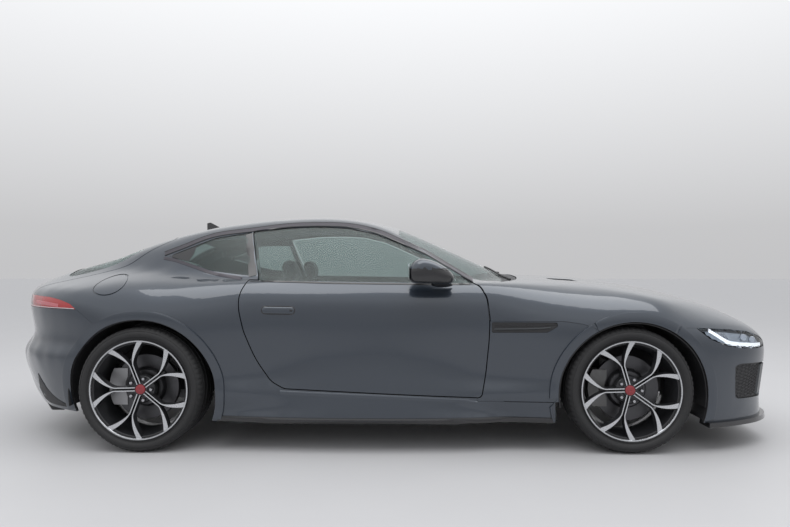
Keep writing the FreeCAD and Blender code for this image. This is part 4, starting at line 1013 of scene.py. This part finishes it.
# Open meshes in the nose, and the bonnet's louvres
def front_spot(y, z, depth, tree):
    hit, normal, _, _ = tree.ray_cast(Vector((3.0, y, z)), Vector((-1, 0, 0)))
    if hit is None:
        return None
    return hit - Vector((depth, 0, 0))


def inside_outline(outline, a, b):
    """Whether a flat point lies inside a closed outline."""
    within = False
    for k in range(len(outline)):
        (a0, b0), (a1, b1) = outline[k - 1], outline[k]
        if (b0 > b) != (b1 > b) and a < a0 + (a1 - a0) * (b - b0) / (b1 - b0):
            within = not within
    return within


def honeycomb(name, outline, cell, tree, body="root"):
    """Thin dark bars round six-sided cells, standing on the panel behind an opening."""
    low = [min(p[k] for p in outline) for k in (0, 1)]
    high = [max(p[k] for p in outline) for k in (0, 1)]
    tall = cell * math.sqrt(3) / 2
    points, faces = [], []
    row = 0
    z = low[1]
    while z < high[1]:
        y = low[0] + (cell * 0.75 if row % 2 else 0)
        while y < high[0]:
            for turn in (30, 90, 150):
                a = math.radians(turn - 30)
                b = math.radians(turn + 30)
                ends = [(y + cell / 2 * math.cos(t), z + cell / 2 * math.sin(t)) for t in (a, b)]
                middle = ((ends[0][0] + ends[1][0]) / 2, (ends[0][1] + ends[1][1]) / 2)
                if not inside_outline(outline, *middle):
                    continue
                spots = [front_spot(p[0], p[1], 0.0, tree) for p in ends]
                if None in spots:
                    continue
                way = (spots[1] - spots[0]).normalized()
                across = Vector((1, 0, 0)).cross(way) * 0.0012
                start = len(points)
                for spot in spots:
                    points += [spot - across, spot + across, spot + across + Vector((0.007, 0, 0)),
                               spot - across + Vector((0.007, 0, 0))]
                for j in range(4):
                    k = (j + 1) % 4
                    faces.append((start + j, start + k, start + 4 + k, start + 4 + j))
            y += cell * 1.5
        z += tall / 2
        row += 1
    if not points:
        return None
    return mesh_object(name, points, faces, trim_black, body, smooth=False)


GRILLE_HALF = ((0.300, 0.566), (0.455, 0.520), (0.470, 0.430), (0.380, 0.300))
INTAKE = ((-0.580, 0.450), (-0.828, 0.462), (-0.810, 0.280), (-0.645, 0.266))


def nose_details():
    tree = tree_of("grilles")
    whole = [(y, z) for y, z in GRILLE_HALF] + [(-y, z) for y, z in reversed(GRILLE_HALF)]
    inner = [(y * 0.975, 0.434 + (z - 0.434) * 0.95) for y, z in whole]
    honeycomb("grille_mesh", inner, 0.026, tree)
    for side_name, side in SIDES.items():
        outline = [(-side * y, z) for y, z in INTAKE]
        middle = (sum(y for y, z in outline) / 4, sum(z for y, z in outline) / 4)
        inner = [(middle[0] + (y - middle[0]) * 0.93, middle[1] + (z - middle[1]) * 0.92) for y, z in outline]
        honeycomb("intake_mesh_%s" % side_name, inner, 0.020, tree)
        blade = [(side * 0.640, 0.285), (side * 0.700, 0.278), (side * 0.706, 0.445), (side * 0.660, 0.450)]
        points = []
        for depth in (-0.001, -0.016):
            for y, z in blade:
                points.append(front_spot(y, z, depth, tree) or Vector((2.1, y, z)))
        faces = [(0, 1, 2, 3), (4, 5, 6, 7)] + [(k, (k + 1) % 4, 4 + (k + 1) % 4, 4 + k) for k in range(4)]
        piece = tidy(mesh_object("intake_blade_%s" % side_name, points, faces, satin_dark, smooth=False))
        bevel(piece, 0.002)
    rail = [front_spot(-0.46 + 0.92 * k / 24, 0.546 - 0.030 * abs(-1 + k / 12) ** 2, -0.003,
                       tree_of("grilles"))
            for k in range(25)]
    rail = [p for p in rail if p]
    if len(rail) > 3:
        tube("grille_brow", rail, 0.003, satin_dark, "root", 6)


LOUVRE = ((1.004, -0.306), (1.022, -0.432), (1.184, -0.395), (1.161, -0.291))


def louvres(side_name):
    side = SIDES[side_name]
    spot = on_top(tree_of("bonnet"))
    outline = [(x, -side * y) for x, y in LOUVRE]
    skin_patch("louvre_floor_%s" % side_name, outline, ((1.0, 0.0002), (0.995, 0.0010), (0.5, 0.0010)), spot,
               gloss_black, "bonnet_body")
    for k in range(6):
        share = (k + 0.5) / 6
        inner = [outline[0][j] + (outline[3][j] - outline[0][j]) * share for j in (0, 1)]
        outer = [outline[1][j] + (outline[2][j] - outline[1][j]) * share for j in (0, 1)]
        path = [[inner[j] + (outer[j] - inner[j]) * t / 8 for j in (0, 1)] for t in range(9)]
        skin_band("louvre_%s_%d" % (side_name, k), path,
                  [(0.008, 0.0015), (0.0075, 0.0030), (-0.0075, 0.0100), (-0.008, 0.0086)], spot, trim_black,
                  "bonnet_body")


# Inside faces of the panels
LINED = both_names("door", "body_side") + ["roof_panel", "tailgate", "bonnet", "front_bumper", "rear_bumper"]


def line_panels():
    """Faces that look into the cabin or the body take the dark lining."""
    for name in LINED:
        mesh = nodes[name].data
        dark = len(mesh.materials)
        mesh.materials.append(cabin)
        for polygon in mesh.polygons:
            centre = polygon.center
            outward = Vector((0, centre.y, (centre.z - 0.55) * 0.8))
            if abs(centre.x) > 1.45:
                outward.x = centre.x * 0.5
            if polygon.normal.dot(outward) < -0.02:
                polygon.material_index = dark


for side_name in SIDES:
    mirror(side_name)
    louvres(side_name)
nose_details()
line_panels()


# Cabin
def inner_spot(x, z, side, tree, toward=0.02):
    """The point on a door's inner face, and a little towards the cabin."""
    hit, _, _, _ = tree.ray_cast(Vector((x, side * 0.3, z)), Vector((0, side, 0)))
    return None if hit is None else hit - Vector((0, side * toward, 0))


def door_card(side_name):
    """Trimmed inner face of the door with an arm rest, a pull and a speaker."""
    side = SIDES[side_name]
    body = "door_%s_body" % side_name
    tree = tree_of("door_%s" % side_name)

    def spot(x, z, depth):
        return inner_spot(x, z, side, tree, -depth)

    card = ((-0.700, 0.855), (-0.690, 0.700), (-0.620, 0.520), (-0.540, 0.380), (-0.100, 0.360), (0.470,
                                                                                                  0.330),
            (0.500, 0.600), (0.480, 0.850), (0.000, 0.868))
    skin_patch("door_card_%s" % side_name, card, ((1.0, 0.0005), (0.985, 0.004), (0.6, 0.004)), spot, cabin,
               body)
    rest = ((-0.520, 0.640), (-0.200, 0.628), (0.120, 0.640), (0.260, 0.690))
    skin_band("arm_rest_%s" % side_name, flat_path(rest),
              [(0.028, 0.003), (0.026, 0.045), (0.012, 0.056), (-0.014, 0.050), (-0.030, 0.003)], spot,
              leather, body)
    pull = ((0.020, 0.745), (0.110, 0.752), (0.180, 0.746))
    skin_band("door_pull_%s" % side_name, flat_path(pull),
              [(0.010, 0.003), (0.008, 0.014), (-0.008, 0.014), (-0.010, 0.003)], spot, satin_dark, body)
    ring = [(0.360 + 0.075 * math.cos(t), 0.450 + 0.075 * math.sin(t)) for t in
            [2 * math.pi * k / 32 for k in range(32)]]
    skin_patch("door_speaker_%s" % side_name, ring, ((1.0, 0.003), (0.97, 0.010), (0.9, 0.008), (0.3,
                                                                                                 0.010)), spot,
               trim_black, body)


def cabin_fittings():
    """Instrument hood, middle screen, air outlets, console, gear selector and wheel centre."""
    def lump(name, size, place, finish, round_off=0.012, tilt=0.0, body="root"):
        def build(form):
            bmesh.ops.create_cube(form, size=1.0)
            bmesh.ops.scale(form, vec=size, verts=form.verts)
            bmesh.ops.bevel(form, geom=form.edges[:], offset=round_off, segments=3, affect="EDGES")
            bmesh.ops.rotate(form, cent=(0, 0, 0), matrix=Matrix.Rotation(tilt, 3, "Y"), verts=form.verts)
            bmesh.ops.translate(form, vec=place, verts=form.verts)
        return sharp(solid_of(name, build, finish, body), 40)

    lump("instrument_hood", (0.150, 0.330, 0.050), (0.345, -SEAT_PLACE, 0.868), leather, 0.020, -0.10)
    lump("instruments", (0.010, 0.290, 0.085), (0.290, -SEAT_PLACE, 0.828), gloss_black, 0.004, -0.25)
    lump("middle_screen", (0.014, 0.270, 0.130), (0.292, 0.0, 0.806), gloss_black, 0.005, -0.20)
    lump("console", (0.620, 0.200, 0.120), (-0.020, 0.0, 0.452), cabin, 0.020)
    lump("console_lid", (0.230, 0.170, 0.040), (-0.200, 0.0, 0.520), leather, 0.016)
    lump("gear_plate", (0.220, 0.110, 0.008), (0.100, 0.0, 0.513), gloss_black, 0.003)
    lump("gear_selector", (0.050, 0.045, 0.080), (0.110, 0.0, 0.550), leather, 0.015, 0.15)
    for k, place in enumerate((-0.545, -0.195, 0.185, 0.545)):
        section = [(0.0, 0.020), (0.010, 0.036), (0.016, 0.036), (0.016, 0.030), (0.008, 0.026), (0.008,
                                                                                                  0.002)]
        points = []
        for i in range(32):
            turn = 2 * math.pi * i / 32
            for across, radius in section:
                points.append((0.298 - across, place + radius * math.cos(turn),
                               0.800 + radius * math.sin(turn)))
        piece = tidy(mesh_object("air_outlet_%d" % k, points, ring_faces(32, len(section), closed_rows=True),
                                 satin_dark))
        sharp(piece, 35)
    low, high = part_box("steering_wheel")
    centre = (low + high) / 2
    tilt = math.radians(22)
    face = Vector((-math.cos(tilt), 0, math.sin(tilt)))
    up = Vector((math.sin(tilt), 0, math.cos(tilt)))
    rows = []
    for reach, radius in ((0.012, 0.052), (0.028, 0.056), (0.036, 0.052), (0.040, 0.040), (0.042, 0.002)):
        for i in range(40):
            turn = 2 * math.pi * i / 40
            rows.append(centre + face * reach + Vector((0, radius * 1.15 * math.cos(turn), 0))
                        + up * radius * math.sin(turn))
    pad = mesh_object("wheel_centre_pad", rows, ring_faces(5, 40) + [tuple(range(160, 200))], leather,
                      "steering_wheel_body")
    tidy(pad)


for side_name in SIDES:
    door_card(side_name)
cabin_fittings()


# Studio
FLOOR_REACH = 40
CAMERA_PLACE = (0.126, -4.006, 0.998)
CAMERA_PITCH = math.pi / 2 + 0.004
CAMERA_TURN = 0.022
CAMERA_LENS = 26.415


def ground():
    """A plain pale floor."""
    reach = FLOOR_REACH
    mesh = bpy.data.meshes.new("ground")
    corners = [(-reach, -reach, 0), (reach, -reach, 0), (reach, reach, 0), (-reach, reach, 0)]
    mesh.from_pydata(corners, [], [(0, 1, 2, 3)])
    floor = bpy.data.objects.new("ground", mesh)
    bpy.context.scene.collection.objects.link(floor)
    pale = material("pale_floor", Roughness=0.55)
    vary(pale, "Base Color", (0.47, 0.47, 0.48), (0.49, 0.49, 0.50), 2.0)
    mesh.materials.append(pale)


def soft_light(name, place, target, width, height, power):
    """A wide rectangular lamp that faces its target."""
    data = bpy.data.lights.new(name, "AREA")
    data.shape = "RECTANGLE"
    data.size, data.size_y, data.energy = width, height, power
    light = bpy.data.objects.new(name, data)
    bpy.context.scene.collection.objects.link(light)
    light.location = place
    light.rotation_euler = (Vector(target) - Vector(place)).to_track_quat("-Z", "Y").to_euler()


def surroundings():
    """Pale grey near the horizon and brighter overhead, the same for every kind of ray."""
    world = bpy.data.worlds.new("studio")
    bpy.context.scene.world = world
    world.use_nodes = True
    tree = world.node_tree
    tree.nodes.clear()
    out = tree.nodes.new("ShaderNodeOutputWorld")
    soft = tree.nodes.new("ShaderNodeBackground")
    place = tree.nodes.new("ShaderNodeTexCoord")
    height = tree.nodes.new("ShaderNodeSeparateXYZ")
    ramp = tree.nodes.new("ShaderNodeValToRGB")
    stops = ((0.0, (0.55, 0.55, 0.56)), (0.06, (0.57, 0.57, 0.58)), (0.42, (0.97, 0.98, 1.0)), (1.0, (0.97,
                                                                                                      0.98, 1.0)))
    for k, (spot, colour) in enumerate(stops):
        stop = ramp.color_ramp.elements[k] if k < 2 else ramp.color_ramp.elements.new(spot)
        stop.position, stop.color = spot, (*colour, 1.0)
    tree.links.new(place.outputs["Generated"], height.inputs[0])
    tree.links.new(height.outputs["Z"], ramp.inputs[0])
    tree.links.new(ramp.outputs["Color"], soft.inputs["Color"])
    tree.links.new(soft.outputs[0], out.inputs[0])


ground()
surroundings()
soft_light("overhead", (0.5, -1.5, 5.5), (0, 0, 0.5), 8.0, 5.0, 260)

data = bpy.data.cameras.new("camera")
camera = bpy.data.objects.new("camera", data)
bpy.context.scene.collection.objects.link(camera)
camera.location = CAMERA_PLACE
camera.rotation_euler = (CAMERA_PITCH, 0.0, CAMERA_TURN)
data.sensor_width = 36.0
data.lens = CAMERA_LENS
bpy.context.scene.camera = camera
bpy.context.scene.view_settings.view_transform = "Standard"
